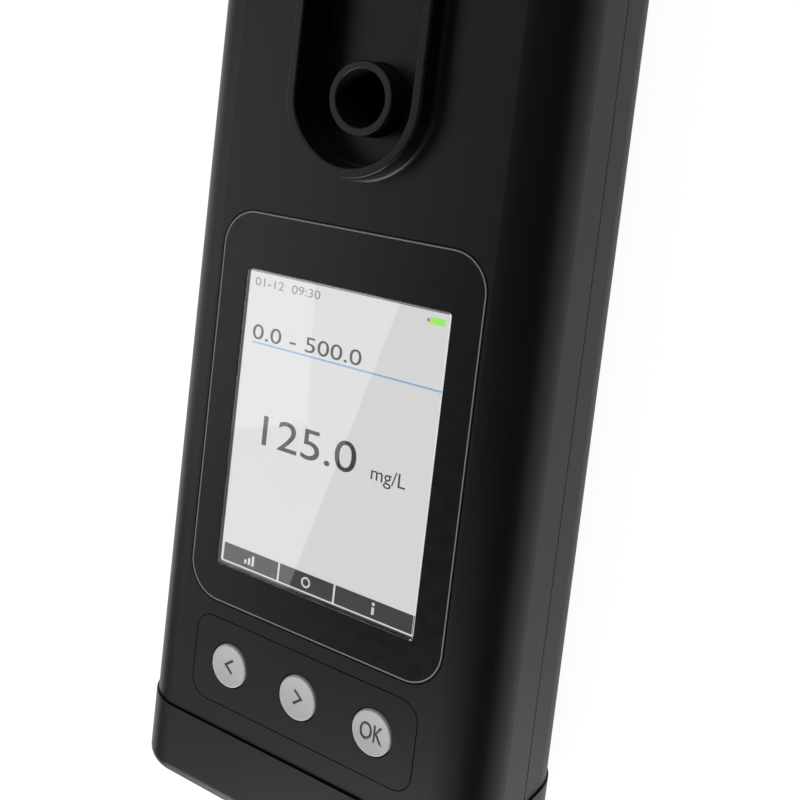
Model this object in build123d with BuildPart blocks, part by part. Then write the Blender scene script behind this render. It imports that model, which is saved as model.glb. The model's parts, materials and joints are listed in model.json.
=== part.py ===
from build123d import *
import os
from math import atan2, degrees

# Portable colorimeter, lying on its back: +Z out of the front face, +Y towards the well end.
# The origin is under the middle of the outline, on the surface that the back rests on.
# All sizes are in millimetres.

# Casing
body_width = 87.2
body_length = 265.0
body_depth = 44.0
front_radius = 10.7
back_radius = 15.0
top_radius = 8.0
wall = 2.5
bulkhead = 3.0
seam_groove = 0.3

# Clearances
inlay_gap = 0.2
moving_gap = 0.3
slip_gap = 0.05
height_match = 0.01

# Base cap at the bottom end
cap_length = 16.4
cap_proud = 0.4
cap_wall = 2.4
cap_radius = 3.0
plug_reach = 4.0
plug_wall = 2.2
cap_floor = 3.0
cap_head_recess = 3.0
plug_shoulder = 1.0
cap_screw_inset = 9.0
cap_screw_rise = 8.3
cap_boss_radius = 3.6
cap_boss_length = 5.0
seal_width = 1.2
seal_depth = 0.9

# Keypad
keypad_margin = 5.1
keypad_width = 56.5
keypad_length = 18.5
keypad_corner = 4.0
keypad_thickness = 0.8
key_diameter = 9.24
key_pitch = 18.5
key_proud = 0.4
key_travel = 0.6
key_edge = 0.35
key_dish = 0.25
flange_rim = 1.4
flange_thickness = 1.0
nib_radius = 1.5
dome_radius = 4.0
dome_height = 0.35
dome_edge_drop = 0.3
dome_edge_run = 2.0

# Display
panel_gap = 3.5
panel_side_gap = 11.6
panel_length = 85.3
panel_corner = 8.0
panel_thickness = 1.0
window_side = 6.9
window_foot = 8.2
window_head = 12.1
window_corner = 0.8
lcd_side = 4.4
lcd_foot = 3.4
lcd_head = 4.7
lcd_skin = 0.5
glass_thickness = 1.6
backlight_thickness = 2.4
glass_gap = 0.2

# Racetrack recess and its spill guard
well_rise = 25.9
track_end_gap = 8.45
track_width = 27.3
guard_wall = 2.2
guard_rise = 4.9
guard_foot = 1.0
guard_edge = 0.45
recess_depth = 3.8
recess_step = 0.6
step_depth = 0.8
tub_floor = 2.2
post_radius = 7.0

# Sample well
well_bore_radius = 5.8
well_radius = 7.45
collar_rise = 1.9
chamber_depth = 12.0
relief_radius = 6.3
well_bottom = 2.0
collar_edge = 0.3
light_height = 6.0
light_port_radius = 2.0

# Light shield
shield_height = 11.8
shield_wall = 2.0
shield_roof = 2.0
shield_crown = 2.2
hub_radius = 7.0
shoulder_radius = 3.0
grip_count = 5
grip_pitch = 3.0
grip_width = 1.3
grip_depth = 0.7
grip_length = 17.0
felt_width = 1.0
felt_depth = 0.6

# Pivot screw
pivot_head_radius = 4.8
pivot_head_height = 1.8
pivot_head_edge = 0.5
pivot_thread_radius = 1.9
pivot_thread_length = 7.5
pivot_insert_radius = 2.7
pivot_insert_length = 8.0
pivot_socket_radius = 1.6
pivot_socket_depth = 1.1
washer_thickness = 0.3

# Optical block
block_side_gap = 11.0
block_length = 32.0
block_gap = 3.4
block_floor = 2.0
block_corner = 2.0
ear_reach = 2.5
ear_radius = 4.0
ear_thickness = 3.5
lamp_radius = 2.5
lamp_flange = 1.0
lamp_nose = 2.0
filter_radius = 3.6
filter_thickness = 1.0
detector_radius = 3.2
detector_length = 4.5
detector_flange = 0.8
sensor_board_size = 15.0
sensor_board_thickness = 1.2

# Main board
board_side_gap = 6.6
board_thickness = 1.6
board_start = 9.7
board_stop = 7.7
board_boss_side = 3.5
board_boss_inset = 3.4
board_boss_radius = 2.6
board_corner = 2.0
ribbon_length = 5.0
ribbon_width = 20.0
ribbon_thickness = 0.2
connector_width = 22.0
connector_length = 4.0
connector_height = 1.5

# Batteries
cell_diameter = 14.2
cell_length = 50.5
nub_radius = 2.7
nub_length = 1.0
cell_edge = 0.6
cell_pitch = 16.4
tray_floor = 1.2
tray_wall = 1.3
tray_rise = 3.0
cell_start = 5.6
tray_lip = 0.9
contact_thickness = 0.5
contact_width = 9.0
spring_wire = 0.8
spring_radius = 4.2
spring_tip_radius = 2.4
spring_turns = 3
rail_width = 1.4
rail_height = 6.0
bay_margin = 1.4
bay_corner = 3.0
bay_roof_gap = 1.6
bay_lintel = 3.0
bay_sill = 0.5

# Fasteners
screw_radius = 1.5
screw_head_radius = 2.7
screw_head_height = 2.0
insert_radius = 2.3
insert_length = 6.0
boss_radius = 4.0
housing_screw_side = 10.6
housing_screw_drop = 10.2
housing_screw_inset = 14.5
column_radius = 4.8
column_land = 6.0
small_screw_radius = 1.1
small_head_radius = 2.0
small_head_height = 1.3
gasket_inset = 0.8
gasket_width = 1.0
gasket_depth = 0.8

# Rest pads
pad_radius = 4.5
pad_side = 20.6
pad_proud = 1.0
pad_recess = 1.0
pad_inset = 18.0
pad_bevel = 0.3

# Heights, from the surface that the back rests on
back_z = pad_proud
face_z = back_z + body_depth
ceiling_z = face_z - wall
pocket_z = face_z - panel_thickness
glass_z = pocket_z - glass_gap
board_z = glass_z - glass_thickness - backlight_thickness
guard_z = face_z + guard_rise
recess_z = face_z - recess_depth
tub_z = recess_z - tub_floor
collar_z = face_z + collar_rise
shield_z = guard_z + moving_gap
shield_top_z = shield_z + shield_height
shelf_z = shield_top_z - pivot_head_height - washer_thickness - inlay_gap
floor_z = back_z + wall
cell_z = floor_z + tray_floor + cell_diameter / 2 + inlay_gap
bay_top_z = cell_z + cell_diameter / 2 + bay_roof_gap
parting_z = bay_top_z + bay_lintel
cap_screw_z = parting_z + cap_screw_rise
block_base_z = floor_z + block_gap
well_base_z = block_base_z + block_floor
bore_floor_z = well_base_z + well_bottom
light_z = bore_floor_z + light_height
well_depth = collar_z - bore_floor_z
guide_depth = well_depth - chamber_depth

# Widths and places across
panel_width = body_width - 2 * panel_side_gap
window_width = panel_width - 2 * window_side
lcd_width = panel_width - 2 * lcd_side
board_width = body_width - 2 * board_side_gap
board_boss_x = board_width / 2 - board_boss_side
housing_screw_x = body_width / 2 - housing_screw_side
cap_screw_x = housing_screw_x - cap_screw_inset
pad_x = body_width / 2 - pad_side
block_width = 2 * (housing_screw_x - block_side_gap)
ear_x = block_width / 2 + ear_reach
track_outer_width = track_width + 2 * guard_wall

# Places along the length, from the bottom end up
bottom_y = -body_length / 2
top_y = body_length / 2
shell_end_y = bottom_y + cap_length
cap_face_y = shell_end_y - moving_gap
keypad_y = shell_end_y + keypad_margin + keypad_length / 2
panel_start_y = shell_end_y + keypad_margin + keypad_length + panel_gap
panel_y = panel_start_y + panel_length / 2
window_length = panel_length - window_foot - window_head
window_y = panel_start_y + window_foot + window_length / 2
lcd_length = panel_length - lcd_foot - lcd_head
lcd_y = panel_start_y + lcd_foot + lcd_length / 2
well_y = panel_start_y + panel_length + well_rise
track_end_y = top_y - track_end_gap - track_outer_width / 2
pivot_y = (well_y + track_end_y) / 2
pivot_offset = track_end_y - pivot_y
board_start_y = shell_end_y + board_start
board_stop_y = panel_start_y + panel_length + board_stop
cell_start_y = shell_end_y + cell_start
cell_stop_y = cell_start_y + 2 * cell_length + slip_gap
key_xs = [-key_pitch, 0.0, key_pitch]
column_xs = [-cell_pitch / 2, cell_pitch / 2]
housing_screw_places = [
    (side * housing_screw_x, y)
    for side in (-1, 1)
    for y in (
        shell_end_y + column_radius + slip_gap,
        well_y - housing_screw_drop,
        top_y - housing_screw_inset,
    )
]
board_screw_places = [
    (side * board_boss_x, y)
    for side in (-1, 1)
    for y in (board_start_y + board_boss_inset, board_stop_y - board_boss_inset)
]
cap_screw_places = [(-cap_screw_x, cap_screw_z), (cap_screw_x, cap_screw_z)]
ear_places = [(-ear_x, well_y), (ear_x, well_y)]
key_places = [(x, keypad_y) for x in key_xs]
key_names = ("key_left", "key_right", "key_ok")
plug_y = shell_end_y + plug_reach
seal_y = shell_end_y + plug_reach - plug_shoulder
tray_width = cell_pitch + cell_diameter + 2 * inlay_gap + 2 * tray_wall
tray_height = cell_z + tray_rise - floor_z
tray_start_y = cell_start_y - tray_lip
tray_stop_y = cell_stop_y + contact_thickness + tray_wall
tray_length = tray_stop_y - tray_start_y
tray_y = (tray_start_y + tray_stop_y) / 2
rail_x = (tray_width + rail_width) / 2 + inlay_gap
spring_height = cell_start_y - cap_face_y - spring_wire - moving_gap
spring_taper = degrees(atan2(spring_radius - spring_tip_radius, spring_height))
dish_rim = key_diameter / 2 - key_edge
dish_radius = (dish_rim**2 + key_dish**2) / (2 * key_dish)
lcd_stop_y = lcd_y + lcd_length / 2
board_y = (board_start_y + board_stop_y) / 2
board_length = board_stop_y - board_start_y
shield_y = pivot_y + pivot_offset / 2
port_reach = block_width / 2
light_ports = [
    Plane(origin=(-block_width / 2, well_y, light_z), z_dir=(-1, 0, 0)),
    Plane(origin=(block_width / 2, well_y, light_z), z_dir=(1, 0, 0)),
    Plane(origin=(0, well_y + block_length / 2, light_z), z_dir=(0, 1, 0)),
]
chips = [
    (-8.0, 6.0, 14.0, 14.0, 1.4),
    (14.0, 8.0, 9.0, 7.0, 1.6),
    (-24.0, 18.0, 7.0, 9.0, 1.2),
    (22.0, -14.0, 10.0, 10.0, 3.0),
    (-18.0, -22.0, 6.0, 8.0, 1.2),
    (8.0, -34.0, 12.0, 6.0, 4.0),
    (0.0, 44.0, 16.0, 5.0, 4.5),
]
pad_places = [
    (side * pad_x, y) for side in (-1, 1) for y in (shell_end_y + pad_inset, top_y - pad_inset)
]


def across(y):
    """Plane square to the length at y, with X to the right and Z up."""
    return Plane.XZ.offset(-y)


def casing_section(inset=0.0):
    """Cross-section of the casing, drawn inset from its outside all round."""
    half = body_width / 2 - inset
    low = back_z + inset
    high = face_z - inset
    radii = [back_radius - inset] * 2 + [front_radius - inset] * 2
    with BuildSketch() as section:
        with BuildLine():
            FilletPolyline(
                (-half, low), (half, low), (half, high), (-half, high), radius=radii, close=True
            )
        make_face()
    return section.sketch


def casing_plan(inset):
    """Outline of the shells seen from the front, drawn inset from their outside."""
    width = body_width - 2 * inset
    length = top_y - shell_end_y - 2 * inset
    with BuildSketch() as plan:
        with Locations((0, (top_y + shell_end_y) / 2)):
            Rectangle(width, length)
        fillet(plan.vertices().group_by(Axis.Y)[-1], radius=top_radius - inset)
    return plan.sketch


def track(y, centres, width):
    """Racetrack outline along the length, about y."""
    with BuildSketch() as outline:
        with Locations((0, y)):
            SlotCenterToCenter(centres, width, rotation=90)
    return outline.sketch


def felt_ring():
    """Ring along the middle of the light shield's skirt."""
    middle = track_outer_width - shield_wall
    with BuildSketch() as ring:
        add(track(shield_y, pivot_offset, middle + felt_width))
        add(track(shield_y, pivot_offset, middle - felt_width), mode=Mode.SUBTRACT)
    return ring.sketch


def plug_section(inset=0.0):
    """Outline of the opening into the battery bay, drawn inset from its edge."""
    half = cell_pitch / 2 + cell_diameter / 2 + tray_wall + bay_margin - inset
    low = floor_z + bay_sill + inset
    high = bay_top_z - inset
    with BuildSketch() as outline:
        with Locations((0, (low + high) / 2)):
            RectangleRounded(2 * half, high - low, bay_corner - inset)
    return outline.sketch


def key_profile():
    """Half section of a key, from its axis outwards."""
    radius = key_diameter / 2
    top = face_z + key_proud
    flange_top = ceiling_z - moving_gap
    flange_bottom = flange_top - flange_thickness
    nib_bottom = board_z + dome_height + key_travel + 2 * slip_gap
    with BuildSketch() as profile:
        with BuildLine():
            Polyline(
                (radius - key_edge, top),
                (0, top),
                (0, nib_bottom),
                (nib_radius, nib_bottom),
                (nib_radius, flange_bottom),
                (radius + flange_rim, flange_bottom),
                (radius + flange_rim, flange_top),
                (radius, flange_top),
                (radius, top - key_edge),
            )
            RadiusArc((radius, top - key_edge), (radius - key_edge, top), -key_edge)
        make_face()
    return profile.sketch


os.makedirs("parts", exist_ok=True)

# Outer form of the two shells, before they are parted.
with BuildPart() as casing_blank:
    with BuildSketch(across(top_y)):
        add(casing_section())
    extrude(amount=top_y - shell_end_y)
    fillet(casing_blank.faces().sort_by(Axis.Y)[-1].edges(), radius=top_radius)

# Space inside the shells.
with BuildPart() as casing_hollow:
    with BuildSketch(across(top_y - wall)):
        add(casing_section(wall))
    extrude(amount=top_y - wall - shell_end_y - bulkhead)
    fillet(casing_hollow.faces().sort_by(Axis.Y)[-1].edges(), radius=top_radius - wall)

# Front shell: face plate with the display and keypad pockets, the racetrack recess, its guard and post.
with BuildPart() as front_shell:
    add(casing_blank.part)
    add(casing_hollow.part, mode=Mode.SUBTRACT)
    split(bisect_by=Plane.XY.offset(parting_z), keep=Keep.TOP)
    with BuildSketch(Plane.XY.offset(parting_z)):
        add(casing_plan(-seam_groove))
        add(casing_plan(seam_groove), mode=Mode.SUBTRACT)
    extrude(amount=seam_groove, mode=Mode.SUBTRACT)

    # Screw bosses and cap screw bosses
    with BuildSketch(Plane.XY.offset(parting_z)):
        with Locations(*housing_screw_places):
            Circle(boss_radius)
    extrude(amount=ceiling_z - parting_z)
    with BuildSketch(across(shell_end_y + bulkhead + cap_boss_length)):
        with Locations(*cap_screw_places):
            Circle(cap_boss_radius)
    extrude(amount=cap_boss_length)
    with BuildSketch(Plane.XY.offset(board_z)):
        with Locations(*board_screw_places):
            Circle(board_boss_radius)
    extrude(amount=ceiling_z - board_z)
    with BuildSketch(Plane.XY.offset(tub_z)):
        with Locations(*ear_places):
            Circle(ear_radius)
    extrude(amount=ceiling_z - tub_z)

    # Racetrack
    with BuildSketch(Plane.XY.offset(tub_z)):
        add(track(pivot_y, 2 * pivot_offset, track_outer_width))
    extrude(amount=guard_z - tub_z)
    with BuildSketch(Plane.XY.offset(face_z - step_depth)):
        add(track(pivot_y, 2 * pivot_offset, track_width))
    extrude(amount=guard_rise + step_depth, mode=Mode.SUBTRACT)
    with BuildSketch(Plane.XY.offset(recess_z)):
        add(track(pivot_y, 2 * pivot_offset, track_width - 2 * recess_step))
    extrude(amount=recess_depth, mode=Mode.SUBTRACT)
    with BuildSketch(Plane.XY.offset(recess_z)):
        with Locations((0, pivot_y)):
            Circle(post_radius)
    extrude(amount=guard_z - recess_z)
    guard_edges = front_shell.faces().filter_by(Axis.Z).sort_by(Axis.Z)[-2:].edges()
    fillet(guard_edges, radius=guard_edge)
    face_plates = front_shell.faces().filter_by(Axis.Z).filter_by_position(
        Axis.Z, face_z - height_match, face_z + height_match
    )
    fillet(face_plates.sort_by(SortBy.AREA)[-1].inner_wires().edges(), radius=guard_foot)

    # Pockets and openings of the face
    with BuildSketch(Plane.XY.offset(face_z)):
        with Locations((0, panel_y)):
            RectangleRounded(
                panel_width + 2 * inlay_gap, panel_length + 2 * inlay_gap, panel_corner + inlay_gap
            )
    extrude(amount=-panel_thickness, mode=Mode.SUBTRACT)
    with BuildSketch(Plane.XY.offset(face_z)):
        with Locations((0, lcd_y)):
            Rectangle(lcd_width + 4 * inlay_gap, lcd_length + 4 * inlay_gap)
    extrude(amount=-wall, mode=Mode.SUBTRACT)
    with BuildSketch(Plane.XY.offset(face_z)):
        with Locations((0, keypad_y)):
            RectangleRounded(
                keypad_width + 2 * inlay_gap, keypad_length + 2 * inlay_gap, keypad_corner + inlay_gap
            )
    extrude(amount=-keypad_thickness, mode=Mode.SUBTRACT)
    with BuildSketch(Plane.XY.offset(face_z)):
        with Locations(*key_places):
            Circle(key_diameter / 2 + moving_gap)
    extrude(amount=-wall, mode=Mode.SUBTRACT)

    # Holes for the well, its seal, the inserts and the small screws
    with BuildSketch(Plane.XY.offset(recess_z)):
        with Locations((0, well_y)):
            Circle(well_radius + inlay_gap)
    extrude(amount=-tub_floor, mode=Mode.SUBTRACT)
    with BuildSketch(Plane.XY.offset(tub_z)):
        with Locations((0, well_y)):
            Circle(well_radius + seal_width + inlay_gap)
    extrude(amount=seal_width, mode=Mode.SUBTRACT)
    with BuildSketch(Plane.XY.offset(guard_z)):
        with Locations((0, pivot_y)):
            Circle(pivot_insert_radius)
    extrude(amount=-pivot_insert_length, mode=Mode.SUBTRACT)
    with BuildSketch(Plane.XY.offset(parting_z)):
        with Locations(*housing_screw_places):
            Circle(insert_radius)
    extrude(amount=insert_length, mode=Mode.SUBTRACT)
    with BuildSketch(across(shell_end_y + insert_length)):
        with Locations(*cap_screw_places):
            Circle(insert_radius)
    extrude(amount=insert_length, mode=Mode.SUBTRACT)
    with BuildSketch(Plane.XY.offset(board_z)):
        with Locations(*board_screw_places):
            Circle(small_screw_radius)
    extrude(amount=ceiling_z - board_z, mode=Mode.SUBTRACT)
    with BuildSketch(Plane.XY.offset(tub_z)):
        with Locations(*ear_places):
            Circle(small_screw_radius)
    extrude(amount=ceiling_z - tub_z, mode=Mode.SUBTRACT)
front_shell.part.label = "front_shell"
export_step(front_shell.part, "parts/front_shell.step")

# Space inside the back shell: the casing's space less the screw columns and the tray's rails.
with BuildPart() as back_hollow:
    add(casing_hollow.part)
    with BuildSketch(Plane.XY.offset(back_z)):
        with Locations(*housing_screw_places):
            Circle(column_radius)
    extrude(amount=body_depth, mode=Mode.SUBTRACT)
    with BuildSketch(Plane.XY.offset(floor_z)):
        with Locations((-rail_x, tray_y), (rail_x, tray_y)):
            Rectangle(rail_width, tray_length)
    extrude(amount=rail_height, mode=Mode.SUBTRACT)

# Back shell: rounded back, screw columns, the opening of the battery bay and the seats of the pads.
with BuildPart() as back_shell:
    add(casing_blank.part)
    add(back_hollow.part, mode=Mode.SUBTRACT)
    split(bisect_by=Plane.XY.offset(parting_z), keep=Keep.BOTTOM)
    with BuildSketch(across(shell_end_y + bulkhead)):
        add(plug_section())
    extrude(amount=bulkhead, mode=Mode.SUBTRACT)
    with BuildSketch(Plane.XY.offset(parting_z - gasket_depth)):
        add(casing_plan(gasket_inset))
        add(casing_plan(gasket_inset + gasket_width), mode=Mode.SUBTRACT)
    extrude(amount=gasket_depth, mode=Mode.SUBTRACT)
    with BuildSketch(Plane.XY):
        with Locations(*housing_screw_places):
            Circle(screw_head_radius + moving_gap)
    extrude(amount=parting_z - column_land, mode=Mode.SUBTRACT)
    with BuildSketch(Plane.XY):
        with Locations(*housing_screw_places):
            Circle(screw_radius + inlay_gap)
    extrude(amount=parting_z, mode=Mode.SUBTRACT)
    with BuildSketch(Plane.XY.offset(back_z)):
        with Locations(*pad_places):
            Circle(pad_radius + slip_gap)
    extrude(amount=pad_recess, mode=Mode.SUBTRACT)
back_shell.part.label = "back_shell"
export_step(back_shell.part, "parts/back_shell.step")

# Gasket in the parting plane.
with BuildPart() as housing_gasket:
    with BuildSketch(Plane.XY.offset(parting_z - gasket_depth)):
        add(casing_plan(gasket_inset))
        add(casing_plan(gasket_inset + gasket_width), mode=Mode.SUBTRACT)
    extrude(amount=gasket_depth)
housing_gasket.part.label = "housing_gasket"
export_step(housing_gasket.part, "parts/housing_gasket.step")

# Threaded inserts in the front shell's bosses.
with BuildPart() as housing_inserts:
    with BuildSketch(Plane.XY.offset(parting_z)):
        with Locations(*housing_screw_places):
            Circle(insert_radius)
            Circle(screw_radius + slip_gap, mode=Mode.SUBTRACT)
    extrude(amount=insert_length)
housing_inserts.part.label = "housing_inserts"
export_step(housing_inserts.part, "parts/housing_inserts.step")

# Screws up the back shell's columns.
with BuildPart() as housing_screws:
    with BuildSketch(Plane.XY.offset(parting_z - column_land)):
        with Locations(*housing_screw_places):
            Circle(screw_head_radius)
    extrude(amount=-screw_head_height)
    with BuildSketch(Plane.XY.offset(parting_z - column_land)):
        with Locations(*housing_screw_places):
            Circle(screw_radius)
    extrude(amount=column_land + insert_length - slip_gap)
housing_screws.part.label = "housing_screws"
export_step(housing_screws.part, "parts/housing_screws.step")

# Anti-slip pads let into the flat of the back.
with BuildPart() as rest_pads:
    with BuildSketch(Plane.XY):
        with Locations(*pad_places):
            Circle(pad_radius)
    extrude(amount=pad_proud + pad_recess)
    chamfer(rest_pads.edges().group_by(Axis.Z)[0], length=pad_bevel)
rest_pads.part.label = "rest_pads"
export_step(rest_pads.part, "parts/rest_pads.step")

# Base cap: hollow end moulding, with the plug that closes the battery bay and two screw bosses.
with BuildPart() as base_cap:
    with BuildSketch(across(cap_face_y)):
        add(casing_section(-cap_proud))
    extrude(amount=cap_face_y - bottom_y)
    fillet(base_cap.faces().sort_by(Axis.Y)[0].edges(), radius=cap_radius)
    with BuildSketch(across(cap_face_y)):
        add(casing_section(cap_wall - cap_proud))
    extrude(amount=cap_face_y - bottom_y - cap_floor, mode=Mode.SUBTRACT)
    with BuildSketch(across(cap_face_y)):
        with Locations(*cap_screw_places):
            Circle(cap_boss_radius)
    extrude(amount=cap_face_y - bottom_y - cap_floor)
    with BuildSketch(across(plug_y)):
        add(plug_section(moving_gap))
    extrude(amount=plug_y - bottom_y - cap_floor)
    with BuildSketch(across(plug_y)):
        add(plug_section(moving_gap + plug_wall))
    extrude(amount=plug_y - cap_face_y, mode=Mode.SUBTRACT)
    with BuildSketch(across(seal_y)):
        add(plug_section(moving_gap))
        add(plug_section(moving_gap + seal_depth), mode=Mode.SUBTRACT)
    extrude(amount=seal_width, mode=Mode.SUBTRACT)
    with BuildSketch(across(cap_face_y)):
        with Locations(*cap_screw_places):
            Circle(screw_radius + inlay_gap)
    extrude(amount=cap_face_y - bottom_y, mode=Mode.SUBTRACT)
    with BuildSketch(across(bottom_y + cap_head_recess)):
        with Locations(*cap_screw_places):
            Circle(screw_head_radius + inlay_gap)
    extrude(amount=cap_head_recess, mode=Mode.SUBTRACT)
base_cap.part.label = "base_cap"
export_step(base_cap.part, "parts/base_cap.step")

# Seal round the plug.
with BuildPart() as cap_seal:
    with BuildSketch(across(seal_y)):
        add(plug_section(slip_gap))
        add(plug_section(moving_gap + seal_depth), mode=Mode.SUBTRACT)
    extrude(amount=seal_width)
cap_seal.part.label = "cap_seal"
export_step(cap_seal.part, "parts/cap_seal.step")

# Captive screws of the base cap.
with BuildPart() as cap_screws:
    with BuildSketch(across(bottom_y + cap_head_recess)):
        with Locations(*cap_screw_places):
            Circle(screw_head_radius)
    extrude(amount=screw_head_height)
    with BuildSketch(across(shell_end_y + insert_length - slip_gap)):
        with Locations(*cap_screw_places):
            Circle(screw_radius)
    extrude(amount=cap_length + insert_length - slip_gap - cap_head_recess)
cap_screws.part.label = "cap_screws"
export_step(cap_screws.part, "parts/cap_screws.step")

# Threaded inserts for the cap's screws.
with BuildPart() as cap_inserts:
    with BuildSketch(across(shell_end_y + insert_length)):
        with Locations(*cap_screw_places):
            Circle(insert_radius)
            Circle(screw_radius + slip_gap, mode=Mode.SUBTRACT)
    extrude(amount=insert_length)
cap_inserts.part.label = "cap_inserts"
export_step(cap_inserts.part, "parts/cap_inserts.step")

# Conical contact springs in the plug.
with BuildPart() as cap_springs:
    for x in column_xs:
        with BuildLine() as coil:
            Helix(
                pitch=spring_height / spring_turns,
                height=spring_height,
                radius=spring_radius,
                center=(x, cap_face_y + spring_wire / 2, cell_z),
                direction=(0, 1, 0),
                cone_angle=-spring_taper,
            )
        with BuildSketch(Plane(origin=coil.line @ 0, z_dir=coil.line % 0)):
            RegularPolygon(spring_wire / 2, 8)
        sweep(path=coil.line, is_frenet=True)
cap_springs.part.label = "cap_springs"
export_step(cap_springs.part, "parts/cap_springs.step")

# Cells in two columns, the second one the other way up.
with BuildPart() as battery_cells:
    for x, way in zip(column_xs, (1, -1)):
        for start_y in (cell_start_y, cell_start_y + cell_length + slip_gap):
            foot_y = start_y if way > 0 else start_y + cell_length
            cell_foot = Plane(origin=(x, foot_y, cell_z), z_dir=(0, way, 0))
            with BuildSketch(cell_foot):
                Circle(cell_diameter / 2)
            can = extrude(amount=cell_length - nub_length)
            chamfer(can.edges().filter_by(GeomType.CIRCLE), length=cell_edge)
            with BuildSketch(cell_foot.offset(cell_length - nub_length)):
                Circle(nub_radius)
            extrude(amount=nub_length)
battery_cells.part.label = "battery_cells"
export_step(battery_cells.part, "parts/battery_cells.step")

# Tray with a trough for each column of cells and an end wall.
with BuildPart() as battery_tray:
    with BuildSketch(across(tray_stop_y)):
        with Locations((0, floor_z + tray_height / 2)):
            Rectangle(tray_width, tray_height)
    extrude(amount=tray_length)
    with BuildSketch(across(cell_stop_y + contact_thickness)):
        with Locations(*[(x, cell_z) for x in column_xs]):
            Circle(cell_diameter / 2 + inlay_gap)
        with Locations(*[(x, cell_z + tray_height / 2) for x in column_xs]):
            Rectangle(cell_diameter + 2 * inlay_gap, tray_height)
    extrude(amount=tray_length, mode=Mode.SUBTRACT)
battery_tray.part.label = "battery_tray"
export_step(battery_tray.part, "parts/battery_tray.step")

# Contact plates at the far end of the columns.
with BuildPart() as battery_contacts:
    with BuildSketch(across(cell_stop_y + contact_thickness)):
        with Locations(*[(x, cell_z) for x in column_xs]):
            Rectangle(contact_width, contact_width)
    extrude(amount=contact_thickness)
battery_contacts.part.label = "battery_contacts"
export_step(battery_contacts.part, "parts/battery_contacts.step")

# Keypad inlay.
with BuildPart() as keypad_panel:
    with BuildSketch(Plane.XY.offset(face_z)):
        with Locations((0, keypad_y)):
            RectangleRounded(keypad_width, keypad_length, keypad_corner)
        with Locations(*key_places):
            Circle(key_diameter / 2 + moving_gap, mode=Mode.SUBTRACT)
    extrude(amount=-keypad_thickness)
keypad_panel.part.label = "keypad_panel"
export_step(keypad_panel.part, "parts/keypad_panel.step")

# Keys: dished cap, flange under the face plate and a nib over the dome switch.
for name, x in zip(key_names, key_xs):
    with BuildPart() as key:
        with BuildSketch(across(keypad_y)):
            with Locations((x, 0)):
                add(key_profile())
        revolve(axis=Axis((x, keypad_y, 0), (0, 0, 1)))
        with Locations((x, keypad_y, face_z + key_proud - key_dish + dish_radius)):
            Sphere(dish_radius, mode=Mode.SUBTRACT)
    key.part.label = name
    export_step(key.part, f"parts/{name}.step")

# Dome switches on the board.
with BuildPart() as key_domes:
    with BuildSketch(Plane.XY.offset(board_z)):
        with Locations(*key_places):
            Circle(dome_radius)
    extrude(amount=dome_height)
    chamfer(key_domes.edges().group_by(Axis.Z)[-1], length=dome_edge_drop, length2=dome_edge_run)
key_domes.part.label = "key_domes"
export_step(key_domes.part, "parts/key_domes.step")

# Panel round the display.
with BuildPart() as display_panel:
    with BuildSketch(Plane.XY.offset(face_z)):
        with Locations((0, panel_y)):
            RectangleRounded(panel_width, panel_length, panel_corner)
        with Locations((0, window_y)):
            RectangleRounded(window_width, window_length, window_corner, mode=Mode.SUBTRACT)
    extrude(amount=-panel_thickness)
display_panel.part.label = "display_panel"
export_step(display_panel.part, "parts/display_panel.step")

# Clear window.
with BuildPart() as display_window:
    with BuildSketch(Plane.XY.offset(face_z)):
        with Locations((0, window_y)):
            RectangleRounded(
                window_width - 2 * slip_gap, window_length - 2 * slip_gap, window_corner - slip_gap
            )
    extrude(amount=-panel_thickness)
display_window.part.label = "display_window"
export_step(display_window.part, "parts/display_window.step")

# Display module: glass, backlight and the frame round both.
with BuildPart() as lcd_panel:
    with BuildSketch(Plane.XY.offset(glass_z)):
        with Locations((0, lcd_y)):
            Rectangle(lcd_width - 2 * lcd_skin, lcd_length - 2 * lcd_skin)
    extrude(amount=-glass_thickness)
lcd_panel.part.label = "lcd_panel"
export_step(lcd_panel.part, "parts/lcd_panel.step")

with BuildPart() as lcd_backlight:
    with BuildSketch(Plane.XY.offset(board_z)):
        with Locations((0, lcd_y)):
            Rectangle(lcd_width - 2 * lcd_skin, lcd_length - 2 * lcd_skin)
    extrude(amount=backlight_thickness)
lcd_backlight.part.label = "lcd_backlight"
export_step(lcd_backlight.part, "parts/lcd_backlight.step")

with BuildPart() as lcd_frame:
    with BuildSketch(Plane.XY.offset(board_z)):
        with Locations((0, lcd_y)):
            Rectangle(lcd_width, lcd_length)
            Rectangle(lcd_width - 2 * lcd_skin, lcd_length - 2 * lcd_skin, mode=Mode.SUBTRACT)
    extrude(amount=backlight_thickness + glass_thickness - glass_gap)
lcd_frame.part.label = "lcd_frame"
export_step(lcd_frame.part, "parts/lcd_frame.step")

# Flat ribbon from the display to its connector.
with BuildPart() as display_ribbon:
    with BuildSketch(Plane.XY.offset(board_z)):
        with Locations((0, lcd_stop_y + ribbon_length / 2)):
            Rectangle(ribbon_width, ribbon_length)
    extrude(amount=ribbon_thickness)
display_ribbon.part.label = "display_ribbon"
export_step(display_ribbon.part, "parts/display_ribbon.step")

# Main board.
with BuildPart() as main_board:
    with BuildSketch(Plane.XY.offset(board_z)):
        with Locations((0, board_y)):
            RectangleRounded(board_width, board_length, board_corner)
        with Locations(*board_screw_places):
            Circle(small_screw_radius + inlay_gap, mode=Mode.SUBTRACT)
    extrude(amount=-board_thickness)
main_board.part.label = "main_board"
export_step(main_board.part, "parts/main_board.step")

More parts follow.
